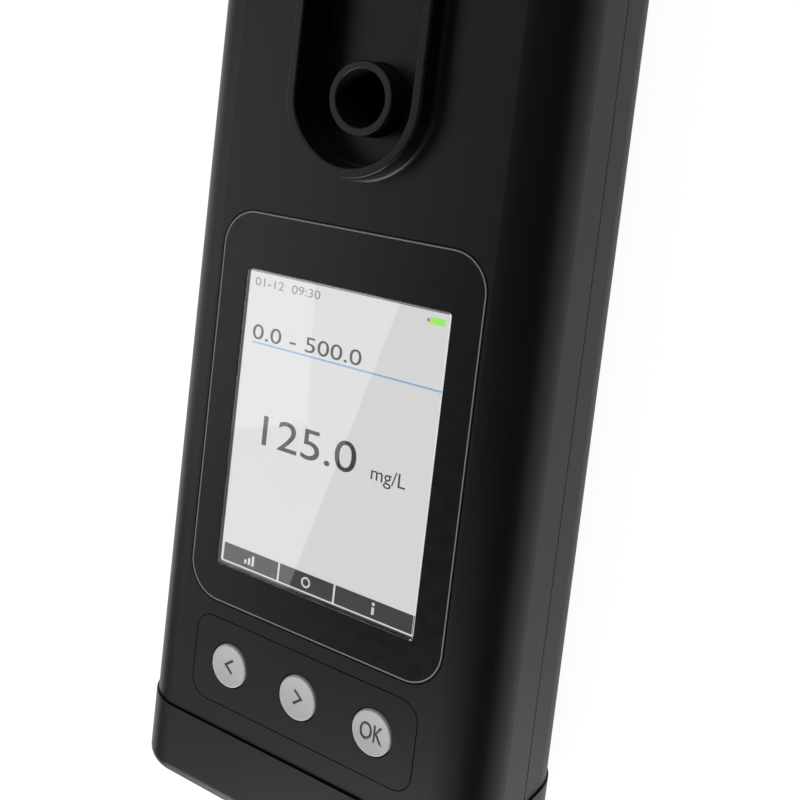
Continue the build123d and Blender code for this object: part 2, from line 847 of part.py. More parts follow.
# Parts soldered to the board: the ribbon's connector above, chips below.
with BuildPart() as board_parts:
    with BuildSketch(Plane.XY.offset(board_z)):
        with Locations((0, lcd_stop_y + ribbon_length + connector_length / 2)):
            Rectangle(connector_width, connector_length)
    extrude(amount=connector_height)
    for x, y, width, length, height in chips:
        with BuildSketch(Plane.XY.offset(board_z - board_thickness)):
            with Locations((x, board_y + y)):
                Rectangle(width, length)
        extrude(amount=-height)
board_parts.part.label = "board_parts"
export_step(board_parts.part, "parts/board_parts.step")

# Screws of the main board.
with BuildPart() as board_screws:
    with BuildSketch(Plane.XY.offset(board_z - board_thickness)):
        with Locations(*board_screw_places):
            Circle(small_head_radius)
    extrude(amount=-small_head_height)
    with BuildSketch(Plane.XY.offset(board_z - board_thickness)):
        with Locations(*board_screw_places):
            Circle(small_screw_radius)
    extrude(amount=board_thickness + ceiling_z - board_z - inlay_gap)
board_screws.part.label = "board_screws"
export_step(board_screws.part, "parts/board_screws.step")

# Sample well: guide bore above, wider chamber with the light ports below.
with BuildPart() as sample_well:
    with BuildSketch(Plane.XY.offset(well_base_z)):
        with Locations((0, well_y)):
            Circle(well_radius)
    extrude(amount=collar_z - well_base_z)
    with BuildSketch(Plane.XY.offset(collar_z)):
        with Locations((0, well_y)):
            Circle(well_bore_radius)
    extrude(amount=-guide_depth, mode=Mode.SUBTRACT)
    with BuildSketch(Plane.XY.offset(collar_z - guide_depth)):
        with Locations((0, well_y)):
            Circle(relief_radius)
    extrude(amount=guide_depth - well_depth, mode=Mode.SUBTRACT)
    fillet(sample_well.faces().sort_by(Axis.Z)[-1].edges(), radius=collar_edge)
    for port in light_ports:
        with BuildSketch(port):
            Circle(light_port_radius)
        extrude(amount=-port_reach, mode=Mode.SUBTRACT)
sample_well.part.label = "sample_well"
export_step(sample_well.part, "parts/sample_well.step")

# Seal between the well and the recess.
with BuildPart() as well_seal:
    with BuildSketch(Plane.XY.offset(tub_z)):
        with Locations((0, well_y)):
            Circle(well_radius + seal_width + slip_gap)
            Circle(well_radius + slip_gap, mode=Mode.SUBTRACT)
    extrude(amount=seal_width - slip_gap)
well_seal.part.label = "well_seal"
export_step(well_seal.part, "parts/well_seal.step")

# Optical block: carries the well, with a stepped bore on each of its three light paths.
with BuildPart() as optical_block:
    with BuildSketch(Plane.XY.offset(block_base_z)):
        with Locations((0, well_y)):
            RectangleRounded(block_width, block_length, block_corner)
    extrude(amount=tub_z - block_base_z)
    with BuildSketch(Plane.XY.offset(tub_z)):
        with Locations((0, well_y)):
            SlotCenterToCenter(2 * ear_x, 2 * ear_radius)
    extrude(amount=-ear_thickness)
    with BuildSketch(Plane.XY.offset(well_base_z)):
        with Locations((0, well_y)):
            Circle(well_radius + slip_gap)
    extrude(amount=tub_z - well_base_z, mode=Mode.SUBTRACT)
    for port in light_ports:
        with BuildSketch(port):
            Circle(filter_radius + slip_gap)
        extrude(amount=-detector_length - filter_thickness, mode=Mode.SUBTRACT)
        with BuildSketch(port):
            Circle(light_port_radius)
        extrude(amount=-port_reach, mode=Mode.SUBTRACT)
    with BuildSketch(Plane.XY.offset(tub_z)):
        with Locations(*ear_places):
            Circle(small_screw_radius + inlay_gap)
    extrude(amount=-ear_thickness, mode=Mode.SUBTRACT)
optical_block.part.label = "optical_block"
export_step(optical_block.part, "parts/optical_block.step")

# Screws of the optical block.
with BuildPart() as block_screws:
    with BuildSketch(Plane.XY.offset(tub_z - ear_thickness)):
        with Locations(*ear_places):
            Circle(small_head_radius)
    extrude(amount=-small_head_height)
    with BuildSketch(Plane.XY.offset(tub_z - ear_thickness)):
        with Locations(*ear_places):
            Circle(small_screw_radius)
    extrude(amount=ear_thickness + ceiling_z - tub_z - inlay_gap)
block_screws.part.label = "block_screws"
export_step(block_screws.part, "parts/block_screws.step")

# Colour filters at the foot of each stepped bore.
with BuildPart() as optical_filters:
    for port in light_ports:
        with BuildSketch(port.offset(-detector_length - filter_thickness)):
            Circle(filter_radius)
        extrude(amount=filter_thickness)
optical_filters.part.label = "optical_filters"
export_step(optical_filters.part, "parts/optical_filters.step")

# Lamp, with its flange at the outer face of the block.
with BuildPart() as light_source:
    with BuildSketch(light_ports[0]):
        Circle(filter_radius)
    extrude(amount=-lamp_flange)
    with BuildSketch(light_ports[0]):
        Circle(lamp_radius)
    extrude(amount=-detector_length)
    fillet(light_source.edges().sort_by(Axis.X)[-1], radius=lamp_nose)
light_source.part.label = "light_source"
export_step(light_source.part, "parts/light_source.step")

# Detectors: one opposite the lamp and one square to it.
with BuildPart() as detectors:
    for port in light_ports[1:]:
        with BuildSketch(port):
            Circle(filter_radius)
        extrude(amount=-detector_flange)
        with BuildSketch(port):
            Circle(detector_radius)
        extrude(amount=-detector_length)
detectors.part.label = "detectors"
export_step(detectors.part, "parts/detectors.step")

# Small boards that carry the lamp and the detectors.
with BuildPart() as sensor_boards:
    for port in light_ports:
        with BuildSketch(port):
            Rectangle(sensor_board_size, sensor_board_size)
        extrude(amount=sensor_board_thickness)
sensor_boards.part.label = "sensor_boards"
export_step(sensor_boards.part, "parts/sensor_boards.step")

# Light shield: hollow lid with a hub, a grip at its free end and a groove for the felt.
with BuildPart() as light_shield:
    with BuildSketch(Plane.XY.offset(shield_z)):
        add(track(shield_y, pivot_offset, track_outer_width))
    extrude(amount=shield_height)
    fillet(light_shield.faces().sort_by(Axis.Z)[-1].edges(), radius=shield_crown)
    with BuildSketch(Plane.XY.offset(shield_z)):
        add(track(shield_y, pivot_offset, track_outer_width - 2 * shield_wall))
        with Locations((0, pivot_y)):
            Circle(hub_radius, mode=Mode.SUBTRACT)
    extrude(amount=shield_height - shield_roof, mode=Mode.SUBTRACT)
    with BuildSketch(Plane.XY.offset(shield_z)):
        add(felt_ring())
    extrude(amount=felt_depth, mode=Mode.SUBTRACT)
    with BuildSketch(Plane.XY.offset(shield_z)):
        with Locations((0, pivot_y)):
            Circle(shoulder_radius + slip_gap)
    extrude(amount=shield_height, mode=Mode.SUBTRACT)
    with BuildSketch(Plane.XY.offset(shelf_z)):
        with Locations((0, pivot_y)):
            Circle(pivot_head_radius + inlay_gap)
    extrude(amount=shield_height, mode=Mode.SUBTRACT)
    with BuildSketch(Plane.XY.offset(shield_top_z)):
        with Locations((0, pivot_y + pivot_offset)):
            with GridLocations(1, grip_pitch, 1, grip_count):
                SlotOverall(grip_length, grip_width)
    extrude(amount=-grip_depth, mode=Mode.SUBTRACT)
light_shield.part.label = "light_shield"
export_step(light_shield.part, "parts/light_shield.step")

# Felt that seals the lid's skirt against light.
with BuildPart() as light_shield_felt:
    with BuildSketch(Plane.XY.offset(shield_z)):
        add(felt_ring())
    extrude(amount=felt_depth)
light_shield_felt.part.label = "light_shield_felt"
export_step(light_shield_felt.part, "parts/light_shield_felt.step")

# Shoulder screw that the lid turns on.
with BuildPart() as lid_pivot_screw:
    with BuildSketch(Plane.XY.offset(shelf_z + washer_thickness)):
        with Locations((0, pivot_y)):
            Circle(pivot_head_radius)
    extrude(amount=pivot_head_height)
    fillet(lid_pivot_screw.faces().sort_by(Axis.Z)[-1].edges(), radius=pivot_head_edge)
    with BuildSketch(Plane.XY.offset(guard_z)):
        with Locations((0, pivot_y)):
            Circle(shoulder_radius)
    extrude(amount=shelf_z + washer_thickness - guard_z)
    with BuildSketch(Plane.XY.offset(guard_z)):
        with Locations((0, pivot_y)):
            Circle(pivot_thread_radius)
    extrude(amount=-pivot_thread_length)
    with BuildSketch(Plane.XY.offset(shelf_z + washer_thickness + pivot_head_height)):
        with Locations((0, pivot_y)):
            RegularPolygon(pivot_socket_radius, 6)
    extrude(amount=-pivot_socket_depth, mode=Mode.SUBTRACT)
lid_pivot_screw.part.label = "lid_pivot_screw"
export_step(lid_pivot_screw.part, "parts/lid_pivot_screw.step")

# Washer under the screw's head.
with BuildPart() as lid_washer:
    with BuildSketch(Plane.XY.offset(shelf_z)):
        with Locations((0, pivot_y)):
            Circle(pivot_head_radius)
            Circle(shoulder_radius + slip_gap, mode=Mode.SUBTRACT)
    extrude(amount=washer_thickness)
lid_washer.part.label = "lid_washer"
export_step(lid_washer.part, "parts/lid_washer.step")

# Bearing washer between the post and the lid's hub.
with BuildPart() as lid_bearing:
    with BuildSketch(Plane.XY.offset(guard_z)):
        with Locations((0, pivot_y)):
            Circle(post_radius - guard_edge)
            Circle(shoulder_radius + slip_gap, mode=Mode.SUBTRACT)
    extrude(amount=moving_gap)
lid_bearing.part.label = "lid_bearing"
export_step(lid_bearing.part, "parts/lid_bearing.step")

# Threaded insert in the post.
with BuildPart() as pivot_insert:
    with BuildSketch(Plane.XY.offset(guard_z)):
        with Locations((0, pivot_y)):
            Circle(pivot_insert_radius)
            Circle(pivot_thread_radius + slip_gap, mode=Mode.SUBTRACT)
    extrude(amount=-pivot_insert_length)
pivot_insert.part.label = "pivot_insert"
export_step(pivot_insert.part, "parts/pivot_insert.step")
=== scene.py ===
"""Looks of the portable colorimeter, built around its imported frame.

The instrument lies on its back: +Z out of the front face, +Y towards the sample well, +X to the right.
Lengths are in metres, apart from those whose name ends in _mm.
"""

import json
import logging
import math
from collections.abc import Callable, Sequence
from dataclasses import dataclass, field
from enum import Enum

import bmesh
import bpy
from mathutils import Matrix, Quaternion, Vector


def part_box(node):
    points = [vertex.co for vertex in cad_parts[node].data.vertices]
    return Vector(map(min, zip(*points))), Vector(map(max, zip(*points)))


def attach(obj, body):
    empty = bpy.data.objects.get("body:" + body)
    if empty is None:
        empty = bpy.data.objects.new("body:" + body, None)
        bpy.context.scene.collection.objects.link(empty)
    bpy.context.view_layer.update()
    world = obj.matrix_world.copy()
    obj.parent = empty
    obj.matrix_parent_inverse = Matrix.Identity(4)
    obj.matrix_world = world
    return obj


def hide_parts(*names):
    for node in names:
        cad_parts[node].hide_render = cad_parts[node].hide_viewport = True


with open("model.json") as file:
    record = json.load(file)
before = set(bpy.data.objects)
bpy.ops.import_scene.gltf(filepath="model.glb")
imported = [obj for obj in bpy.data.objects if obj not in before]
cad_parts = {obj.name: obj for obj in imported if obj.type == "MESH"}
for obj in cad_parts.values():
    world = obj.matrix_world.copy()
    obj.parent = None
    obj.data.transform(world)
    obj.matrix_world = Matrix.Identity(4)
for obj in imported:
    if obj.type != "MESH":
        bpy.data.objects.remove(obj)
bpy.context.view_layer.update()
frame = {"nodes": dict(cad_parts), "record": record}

MM = 0.001
LOG = logging.getLogger("colorimeter")

# Reach within which two corners are one, in meshes made here and in those of the frame.
MERGE_REACH = 0.0005 * MM
FRAME_MERGE_REACH = 0.001 * MM

# Range that holds most values of a noise.
NOISE_RANGE = (0.3, 0.7)

# Places of the colour sockets of a mix node.
MIX_FIRST, MIX_SECOND, MIX_RESULT = 6, 7, 2

Colour = tuple[float, float, float]
Place = tuple[float, float, float]
Point = tuple[float, float]
Cage = bmesh.types.BMesh
Mesh = bpy.types.Mesh
Socket = bpy.types.NodeSocket
Value = float | int | str | tuple | Socket | bpy.types.Material


class Body(Enum):
    """Moving bodies of the instrument."""

    HOUSING = "housing"
    END_CAP = "end_cap"
    SHIELD = "shield"
    LEFT_KEY = "left_key"
    RIGHT_KEY = "right_key"
    CONFIRM_KEY = "confirm_key"


class Slot(Enum):
    """Material slots of the record."""

    PANEL = "panel"
    WINDOW = "window"
    DISPLAY = "display"
    KEYS = "keys"
    SCREWS = "screws"
    RUBBER = "rubber"


class Way(Enum):
    """Way that a screw's head faces."""

    DOWN = (0.0, 0.0, 0.0)
    BOTTOM_END = (-math.pi / 2, 0.0, 0.0)


class Wiring:
    """Shader or geometry node tree that is filled in by short calls."""

    def __init__(self, tree: bpy.types.NodeTree) -> None:
        """Empty the tree.

        Args:
            tree: Tree that the nodes go into.
        """
        self.tree = tree
        tree.nodes.clear()

    def add(
        self,
        kind: str,
        inputs: dict[str | int, Value] | None = None,
        **settings: Value,
    ) -> bpy.types.Node:
        """Add a node.

        Args:
            kind: Blender's name for the node's type.
            inputs: Value or source socket for each named or numbered input.
            **settings: Properties of the node.

        Returns:
            The new node.
        """
        node = self.tree.nodes.new(kind)
        for name, value in settings.items():
            setattr(node, name, value)
        for place, value in (inputs or {}).items():
            if isinstance(value, Socket):
                self.tree.links.new(value, node.inputs[place])
            else:
                node.inputs[place].default_value = value
        return node

    def place(self) -> Socket:
        """Return the object coordinates."""
        return self.add("ShaderNodeTexCoord").outputs["Object"]

    def stretched(self, scale: Place) -> Socket:
        """Return the object coordinates times a scale on each axis."""
        mapping = self.add("ShaderNodeMapping", {"Vector": self.place(), "Scale": scale})
        return mapping.outputs["Vector"]

    def noise(self, size: float, detail: float = 2.0, place: Socket | None = None) -> Socket:
        """Add a noise.

        Args:
            size: Length of its features.
            detail: Octaves of finer noise.
            place: Coordinates, or None for the object's own.

        Returns:
            Its value, from 0 to 1.
        """
        inputs = {"Vector": place or self.place(), "Scale": 1 / size, "Detail": detail}
        return self.add("ShaderNodeTexNoise", inputs).outputs["Fac"]

    def spread(self, noise: Socket, low: float, high: float) -> Socket:
        """Map a noise's middle range onto another.

        Args:
            noise: The noise.
            low: What the low end of its range becomes.
            high: What the high end becomes.

        Returns:
            The mapped value.
        """
        first, last = NOISE_RANGE
        inputs = {"Value": noise, "From Min": first, "From Max": last, "To Min": low, "To Max": high}
        return self.add("ShaderNodeMapRange", inputs).outputs["Result"]

    def about(self, noise: Socket, value: float, play: float) -> Socket:
        """Return a value that a noise moves up and down by some play."""
        return self.spread(noise, value - play, value + play)

    def between(self, share: Socket, first: Colour, second: Colour) -> Socket:
        """Return a colour between two, by share."""
        inputs = {"Factor": share, MIX_FIRST: opaque(first), MIX_SECOND: opaque(second)}
        return self.add("ShaderNodeMix", inputs, data_type="RGBA").outputs[MIX_RESULT]

    def shaded(self, share: Socket, colour: Colour, factors: Point) -> Socket:
        """Return a colour whose lightness changes between two factors, by share."""
        return self.between(share, shade(colour, factors[0]), shade(colour, factors[1]))

    def calculate(self, operation: str, first: Value, second: Value) -> Socket:
        """Return the result of one step of arithmetic."""
        return self.add("ShaderNodeMath", {0: first, 1: second}, operation=operation).outputs[0]

    def relief(self, height: Socket, depth: float, strength: float = 1.0) -> Socket:
        """Return the normal of a surface with that height, depth metres deep."""
        inputs = {"Height": height, "Distance": depth, "Strength": strength}
        return self.add("ShaderNodeBump", inputs).outputs["Normal"]

    def surface(self, **inputs: Value) -> Socket:
        """Return a surface shader with the inputs given, their names written with underscores."""
        named = {name.replace("_", " "): value for name, value in inputs.items()}
        return self.add("ShaderNodeBsdfPrincipled", named).outputs["BSDF"]


def shade(colour: Colour, factor: float) -> Colour:
    """Return the colour times a factor."""
    return tuple(channel * factor for channel in colour)


def opaque(colour: Colour) -> tuple[float, float, float, float]:
    """Return the colour with a full alpha."""
    return (*colour, 1.0)


@dataclass(frozen=True)
class Finish:
    """A finish, which becomes one material of the same name."""

    name: str

    def wire(self, wiring: Wiring) -> Socket:
        """Add the finish's nodes and return its shader."""
        raise NotImplementedError

    def material(self) -> bpy.types.Material:
        """Make the material on the first call, and find it again on later ones.

        Returns:
            The material.
        """
        made = bpy.data.materials.get(self.name)
        if made is None:
            made = bpy.data.materials.new(self.name)
            made.use_nodes = True
            wiring = Wiring(made.node_tree)
            wiring.add("ShaderNodeOutputMaterial", {"Surface": self.wire(wiring)})
        return made


@dataclass(frozen=True)
class MouldedPlastic(Finish):
    """Moulded plastic with a fine eroded texture and a faint drift in colour."""

    colour: Colour = (0.02, 0.02, 0.02)
    roughness: float = 0.37
    specular: float = 0.24
    grain_mm: float = 0.3
    depth_mm: float = 0.012
    drift: float = 0.1
    drift_mm: float = 25.0
    play: float = 0.04

    def wire(self, wiring: Wiring) -> Socket:
        """Add the finish's nodes.

        Args:
            wiring: Node tree of the material.

        Returns:
            The finish's shader.
        """
        grain = wiring.noise(self.grain_mm * MM, 3.0)
        drift = wiring.noise(self.drift_mm * MM)
        return wiring.surface(
            Base_Color=wiring.shaded(drift, self.colour, (1 - self.drift, 1 + self.drift)),
            Roughness=wiring.about(grain, self.roughness, self.play),
            Specular_IOR_Level=self.specular,
            Normal=wiring.relief(grain, self.depth_mm * MM),
        )


@dataclass(frozen=True)
class SmoothPanel(Finish):
    """Smooth back-printed panel: ink under a clear skin with a faint ripple."""

    colour: Colour = (0.01, 0.01, 0.01)
    roughness: float = 0.3
    specular: float = 0.22
    ripple_mm: float = 9.0
    ripple_depth_mm: float = 0.004
    smear_mm: float = 3.0
    play: float = 0.03
    factors: Point = (0.9, 1.1)

    def wire(self, wiring: Wiring) -> Socket:
        """Add the finish's nodes.

        Args:
            wiring: Node tree of the material.

        Returns:
            The finish's shader.
        """
        ripple = wiring.noise(self.ripple_mm * MM, 1.0)
        smear = wiring.noise(self.smear_mm * MM)
        return wiring.surface(
            Base_Color=wiring.shaded(ripple, self.colour, self.factors),
            Roughness=wiring.about(smear, self.roughness, self.play),
            Specular_IOR_Level=self.specular,
            Normal=wiring.relief(ripple, self.ripple_depth_mm * MM),
        )


@dataclass(frozen=True)
class ClearPane(Finish):
    """Clear pane or moulding, tinted or plain."""

    colour: Colour = (1.0, 1.0, 1.0)
    roughness: float = 0.0
    index: float = 1.49
    smear_mm: float = 12.0
    smear: float = 0.015

    def wire(self, wiring: Wiring) -> Socket:
        """Add the finish's nodes.

        Args:
            wiring: Node tree of the material.

        Returns:
            The finish's shader.
        """
        smear = wiring.noise(self.smear_mm * MM)
        return wiring.surface(
            Base_Color=opaque(self.colour),
            Roughness=wiring.spread(smear, self.roughness, self.roughness + self.smear),
            Transmission_Weight=1.0,
            IOR=self.index,
        )


@dataclass(frozen=True)
class LitScreen(Finish):
    """Lit picture of the display, with its fine grid of cells."""

    colour: Colour = (0.64, 0.64, 0.64)
    glow: float = 1.0
    cell_mm: float = 0.2025
    grid_share: float = 0.02
    unlit: Colour = (0.05, 0.05, 0.05)
    roughness: float = 0.8

    def wire(self, wiring: Wiring) -> Socket:
        """Add the finish's nodes.

        Args:
            wiring: Node tree of the material.

        Returns:
            The finish's shader.
        """
        cells = wiring.add(
            "ShaderNodeTexChecker",
            {
                "Vector": wiring.place(),
                "Scale": 1 / (self.cell_mm * MM),
                "Color1": opaque(self.colour),
                "Color2": opaque(shade(self.colour, 1 - self.grid_share)),
            },
        )
        return wiring.surface(
            Base_Color=opaque(self.unlit),
            Roughness=self.roughness,
            Specular_IOR_Level=0.0,
            Emission_Color=cells.outputs["Color"],
            Emission_Strength=self.glow,
        )


@dataclass(frozen=True)
class Ink(Finish):
    """Thin print with a slightly uneven cover."""

    colour: Colour = (0.02, 0.02, 0.02)
    roughness: float = 0.45
    specular: float = 0.5
    glow: float = 0.0
    cover_mm: float = 0.25
    factors: Point = (0.92, 1.08)

    def wire(self, wiring: Wiring) -> Socket:
        """Add the finish's nodes.

        Args:
            wiring: Node tree of the material.

        Returns:
            The finish's shader.
        """
        cover = wiring.noise(self.cover_mm * MM)
        return wiring.surface(
            Base_Color=wiring.shaded(cover, self.colour, self.factors),
            Roughness=self.roughness,
            Specular_IOR_Level=self.specular,
            Emission_Color=opaque(self.colour),
            Emission_Strength=self.glow,
        )


@dataclass(frozen=True)
class WorkedMetal(Finish):
    """Metal with the fine lines of turning, rolling or plating."""

    colour: Colour = (0.5, 0.5, 0.5)
    roughness: float = 0.35
    line_mm: float = 0.12
    line_depth_mm: float = 0.003
    stretch: Place = (1.0, 1.0, 12.0)
    play: float = 0.08
    stain_mm: float = 4.0
    factors: Point = (0.85, 1.1)

    def wire(self, wiring: Wiring) -> Socket:
        """Add the finish's nodes.

        Args:
            wiring: Node tree of the material.

        Returns:
            The finish's shader.
        """
        lines = wiring.noise(self.line_mm * MM, 2.0, wiring.stretched(self.stretch))
        stain = wiring.noise(self.stain_mm * MM)
        return wiring.surface(
            Base_Color=wiring.shaded(stain, self.colour, self.factors),
            Metallic=1.0,
            Roughness=wiring.about(lines, self.roughness, self.play),
            Normal=wiring.relief(lines, self.line_depth_mm * MM),
        )


@dataclass(frozen=True)
class Rubber(Finish):
    """Soft rubber with a dusty skin."""

    colour: Colour = (0.02, 0.02, 0.02)
    roughness: float = 0.75
    specular: float = 0.25
    pore_mm: float = 0.2
    pore_depth_mm: float = 0.02
    dust_mm: float = 3.0
    factors: Point = (1.0, 1.8)

    def wire(self, wiring: Wiring) -> Socket:
        """Add the finish's nodes.

        Args:
            wiring: Node tree of the material.

        Returns:
            The finish's shader.
        """
        pores = wiring.noise(self.pore_mm * MM, 4.0)
        dust = wiring.noise(self.dust_mm * MM, 3.0)
        return wiring.surface(
            Base_Color=wiring.shaded(dust, self.colour, self.factors),
            Roughness=self.roughness,
            Specular_IOR_Level=self.specular,
            Normal=wiring.relief(pores, self.pore_depth_mm * MM),
        )


@dataclass(frozen=True)
class Felt(Finish):
    """Pressed felt with short loose fibres."""

    colour: Colour = (0.012, 0.012, 0.012)
    roughness: float = 0.95
    sheen: float = 0.3
    fibre_mm: float = 0.15
    depth_mm: float = 0.1
    stretch: Place = (1.0, 3.0, 1.0)
    factors: Point = (0.5, 2.0)

    def wire(self, wiring: Wiring) -> Socket:
        """Add the finish's nodes.

        Args:
            wiring: Node tree of the material.

        Returns:
            The finish's shader.
        """
        fibres = wiring.noise(self.fibre_mm * MM, 6.0, wiring.stretched(self.stretch))
        return wiring.surface(
            Base_Color=wiring.shaded(fibres, self.colour, self.factors),
            Roughness=self.roughness,
            Sheen_Weight=self.sheen,
            Normal=wiring.relief(fibres, self.depth_mm * MM),
        )


@dataclass(frozen=True)
class CircuitBoard(Finish):
    """Solder mask over copper tracks."""

    colour: Colour = (0.01, 0.09, 0.03)
    copper: Colour = (0.03, 0.16, 0.05)
    roughness: float = 0.3
    row_mm: float = 6.4
    track_share: float = 0.03
    track_depth_mm: float = 0.03
    patch: float = 1.15

    def wire(self, wiring: Wiring) -> Socket:
        """Add the finish's nodes.

        Args:
            wiring: Node tree of the material.

        Returns:
            The finish's shader.
        """
        tracks = wiring.add(
            "ShaderNodeTexBrick",
            {
                "Vector": wiring.place(),
                "Scale": 1 / (self.row_mm * MM),
                "Color1": opaque(self.colour),
                "Color2": opaque(shade(self.colour, self.patch)),
                "Mortar": opaque(self.copper),
                "Mortar Size": self.track_share,
            },
        )
        return wiring.surface(
            Base_Color=tracks.outputs["Color"],
            Roughness=self.roughness,
            Normal=wiring.relief(tracks.outputs["Fac"], self.track_depth_mm * MM),
        )


@dataclass(frozen=True)
class StripedFilm(Finish):
    """Amber film with conductors that run along it."""

    colour: Colour = (0.35, 0.14, 0.02)
    metal: Colour = (0.55, 0.3, 0.1)
    roughness: float = 0.3
    wave_mm: float = 1.0

    def wire(self, wiring: Wiring) -> Socket:
        """Add the finish's nodes.

        Args:
            wiring: Node tree of the material.

        Returns:
            The finish's shader.
        """
        inputs = {"Vector": wiring.place(), "Scale": 1 / (self.wave_mm * MM)}
        stripes = wiring.add("ShaderNodeTexWave", inputs)
        return wiring.surface(
            Base_Color=wiring.between(stripes.outputs["Fac"], self.colour, self.metal),
            Roughness=self.roughness,
        )


CHARCOAL = (0.0028, 0.0029, 0.003)
INLAY_BLACK = (0.004, 0.004, 0.0042)
KEY_GREY = (0.44, 0.44, 0.44)

FINISHES: dict[str, Finish] = {
    "casing": MouldedPlastic("charcoal_moulding", CHARCOAL),
    "shield": MouldedPlastic("shield_moulding", CHARCOAL),
    "panel": SmoothPanel("black_panel", (0.0035, 0.0035, 0.0037)),
    "window": ClearPane("clear_pane"),
    "display": SmoothPanel("dark_glass", (0.004, 0.004, 0.004), roughness=0.1),
    "display_light": Ink("white_light_guide", (0.7, 0.7, 0.7)),
    "display_frame": WorkedMetal("pressed_frame", (0.35, 0.35, 0.35)),
    "ribbon": StripedFilm("amber_ribbon"),
    "keypad": MouldedPlastic(
        "keypad_inlay", INLAY_BLACK, roughness=0.36, grain_mm=0.2, depth_mm=0.006
    ),
    "keys": MouldedPlastic(
        "key_grey", KEY_GREY, roughness=0.6, specular=0.1, grain_mm=0.15, depth_mm=0.004, drift=0.03
    ),
    "well": MouldedPlastic("well_moulding", (0.008, 0.008, 0.0085), roughness=0.4, depth_mm=0.006),
    "rubber": Rubber("pad_rubber"),
    "seals": Rubber("seal_rubber", (0.03, 0.03, 0.03), roughness=0.6),
    "felt": Felt("black_felt"),
    "screws": WorkedMetal("screw_steel", (0.42, 0.41, 0.4)),
    "inserts": WorkedMetal("insert_brass", (0.6, 0.42, 0.17)),
    "washers": WorkedMetal("washer_steel", (0.5, 0.5, 0.5), roughness=0.28),
    "contacts": WorkedMetal("plated_contacts", (0.62, 0.6, 0.54), roughness=0.22),
    "cells": SmoothPanel("cell_wrap", (0.05, 0.05, 0.06)),
    "tray": MouldedPlastic("tray_moulding", (0.02, 0.02, 0.02)),
    "board": CircuitBoard("green_board"),
    "chips": MouldedPlastic("chip_package", (0.015, 0.015, 0.015), grain_mm=0.1, depth_mm=0.003),
    "block": MouldedPlastic("block_moulding", (0.01, 0.01, 0.01), roughness=0.7),
    "optics": ClearPane("blue_filter", (0.1, 0.3, 0.9)),
    "lamp": ClearPane("lamp_lens", (0.9, 0.93, 1.0), roughness=0.05),
    "sensors": WorkedMetal("sensor_can", (0.5, 0.5, 0.48)),
}

SCREEN_WHITE = LitScreen("lit_screen")
SCREEN_BLACK = Ink("screen_black", (0.02, 0.0205, 0.0215), specular=0.0, glow=0.12)
SCREEN_GREY = Ink("screen_grey", (0.14, 0.14, 0.14), specular=0.0, glow=0.6)
SCREEN_BLUE = Ink("screen_blue", (0.13, 0.25, 0.42), specular=0.0, glow=0.7)
SCREEN_GREEN = Ink("screen_green", (0.22, 0.55, 0.08), specular=0.0, glow=0.7)
OUTLINE_GREY = Ink("outline_grey", (0.16, 0.16, 0.16))
SIGN_BLACK = Ink("sign_black", (0.012, 0.012, 0.012))


def mesh_from(name: str, fill: Callable[[Cage], None]) -> Mesh:
    """Make a mesh whose faces point outwards.

    Args:
        name: Name of the mesh.
        fill: Function that adds the geometry.

    Returns:
        The mesh.
    """
    cage = bmesh.new()
    fill(cage)
    bmesh.ops.remove_doubles(cage, verts=cage.verts, dist=MERGE_REACH)
    bmesh.ops.recalc_face_normals(cage, faces=cage.faces)
    mesh = bpy.data.meshes.new(name)
    cage.to_mesh(mesh)
    cage.free()
    return mesh


def evaluated_mesh(source: bpy.types.Object) -> Mesh:
    """Turn an object into what its modifiers make of it, and remove it.

    Args:
        source: Object that is in no collection yet.

    Returns:
        The result as a plain mesh.
    """
    bpy.context.scene.collection.objects.link(source)
    graph = bpy.context.evaluated_depsgraph_get()
    mesh = bpy.data.meshes.new_from_object(source.evaluated_get(graph))
    bpy.data.objects.remove(source)
    return mesh


def add_piece(
    name: str,
    mesh: Mesh,
    finish: Finish,
    body: Body,
    slot: Slot,
    replaces: Sequence[str] = (),
) -> bpy.types.Object:
    """Add a finished piece to the instrument.

    Args:
        name: Name of the piece.
        mesh: Its mesh, in place.
        finish: Its finish.
        body: Body that it rides on.
        slot: Not used.
        replaces: Nodes that it stands for.

    Returns:
        The piece.
    """
    piece = bpy.data.objects.new(name, mesh)
    bpy.context.scene.collection.objects.link(piece)
    mesh.materials.clear()
    mesh.materials.append(finish.material())
    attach(piece, body.value)
    if replaces:
        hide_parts(*replaces)
    LOG.info("%s: %d faces on %s", name, len(mesh.polygons), body.value)
    return piece


def rounded_rectangle(centre: Point, size: Point, radius: float, steps: int = 8) -> list[Point]:
    """Return the corners of a rounded rectangle, anticlockwise.

    Args:
        centre: Its middle.
        size: Its width and length.
        radius: Radius of its corners.
        steps: Sides of each corner.

    Returns:
        Its points.
    """
    points = []
    for corner, (side_x, side_y) in enumerate(((1, 1), (-1, 1), (-1, -1), (1, -1))):
        corner_x = centre[0] + side_x * (size[0] / 2 - radius)
        corner_y = centre[1] + side_y * (size[1] / 2 - radius)
        for step in range(steps + 1):
            angle = (corner + step / steps) * math.pi / 2
            points.append((corner_x + radius * math.cos(angle), corner_y + radius * math.sin(angle)))
    return points


def ellipse(centre: Point, size: Point, steps: int = 40) -> list[Point]:
    """Return the points of an ellipse, anticlockwise."""
    angles = [2 * math.pi * step / steps for step in range(steps)]
    return [(centre[0] + size[0] / 2 * math.cos(a), centre[1] + size[1] / 2 * math.sin(a)) for a in angles]


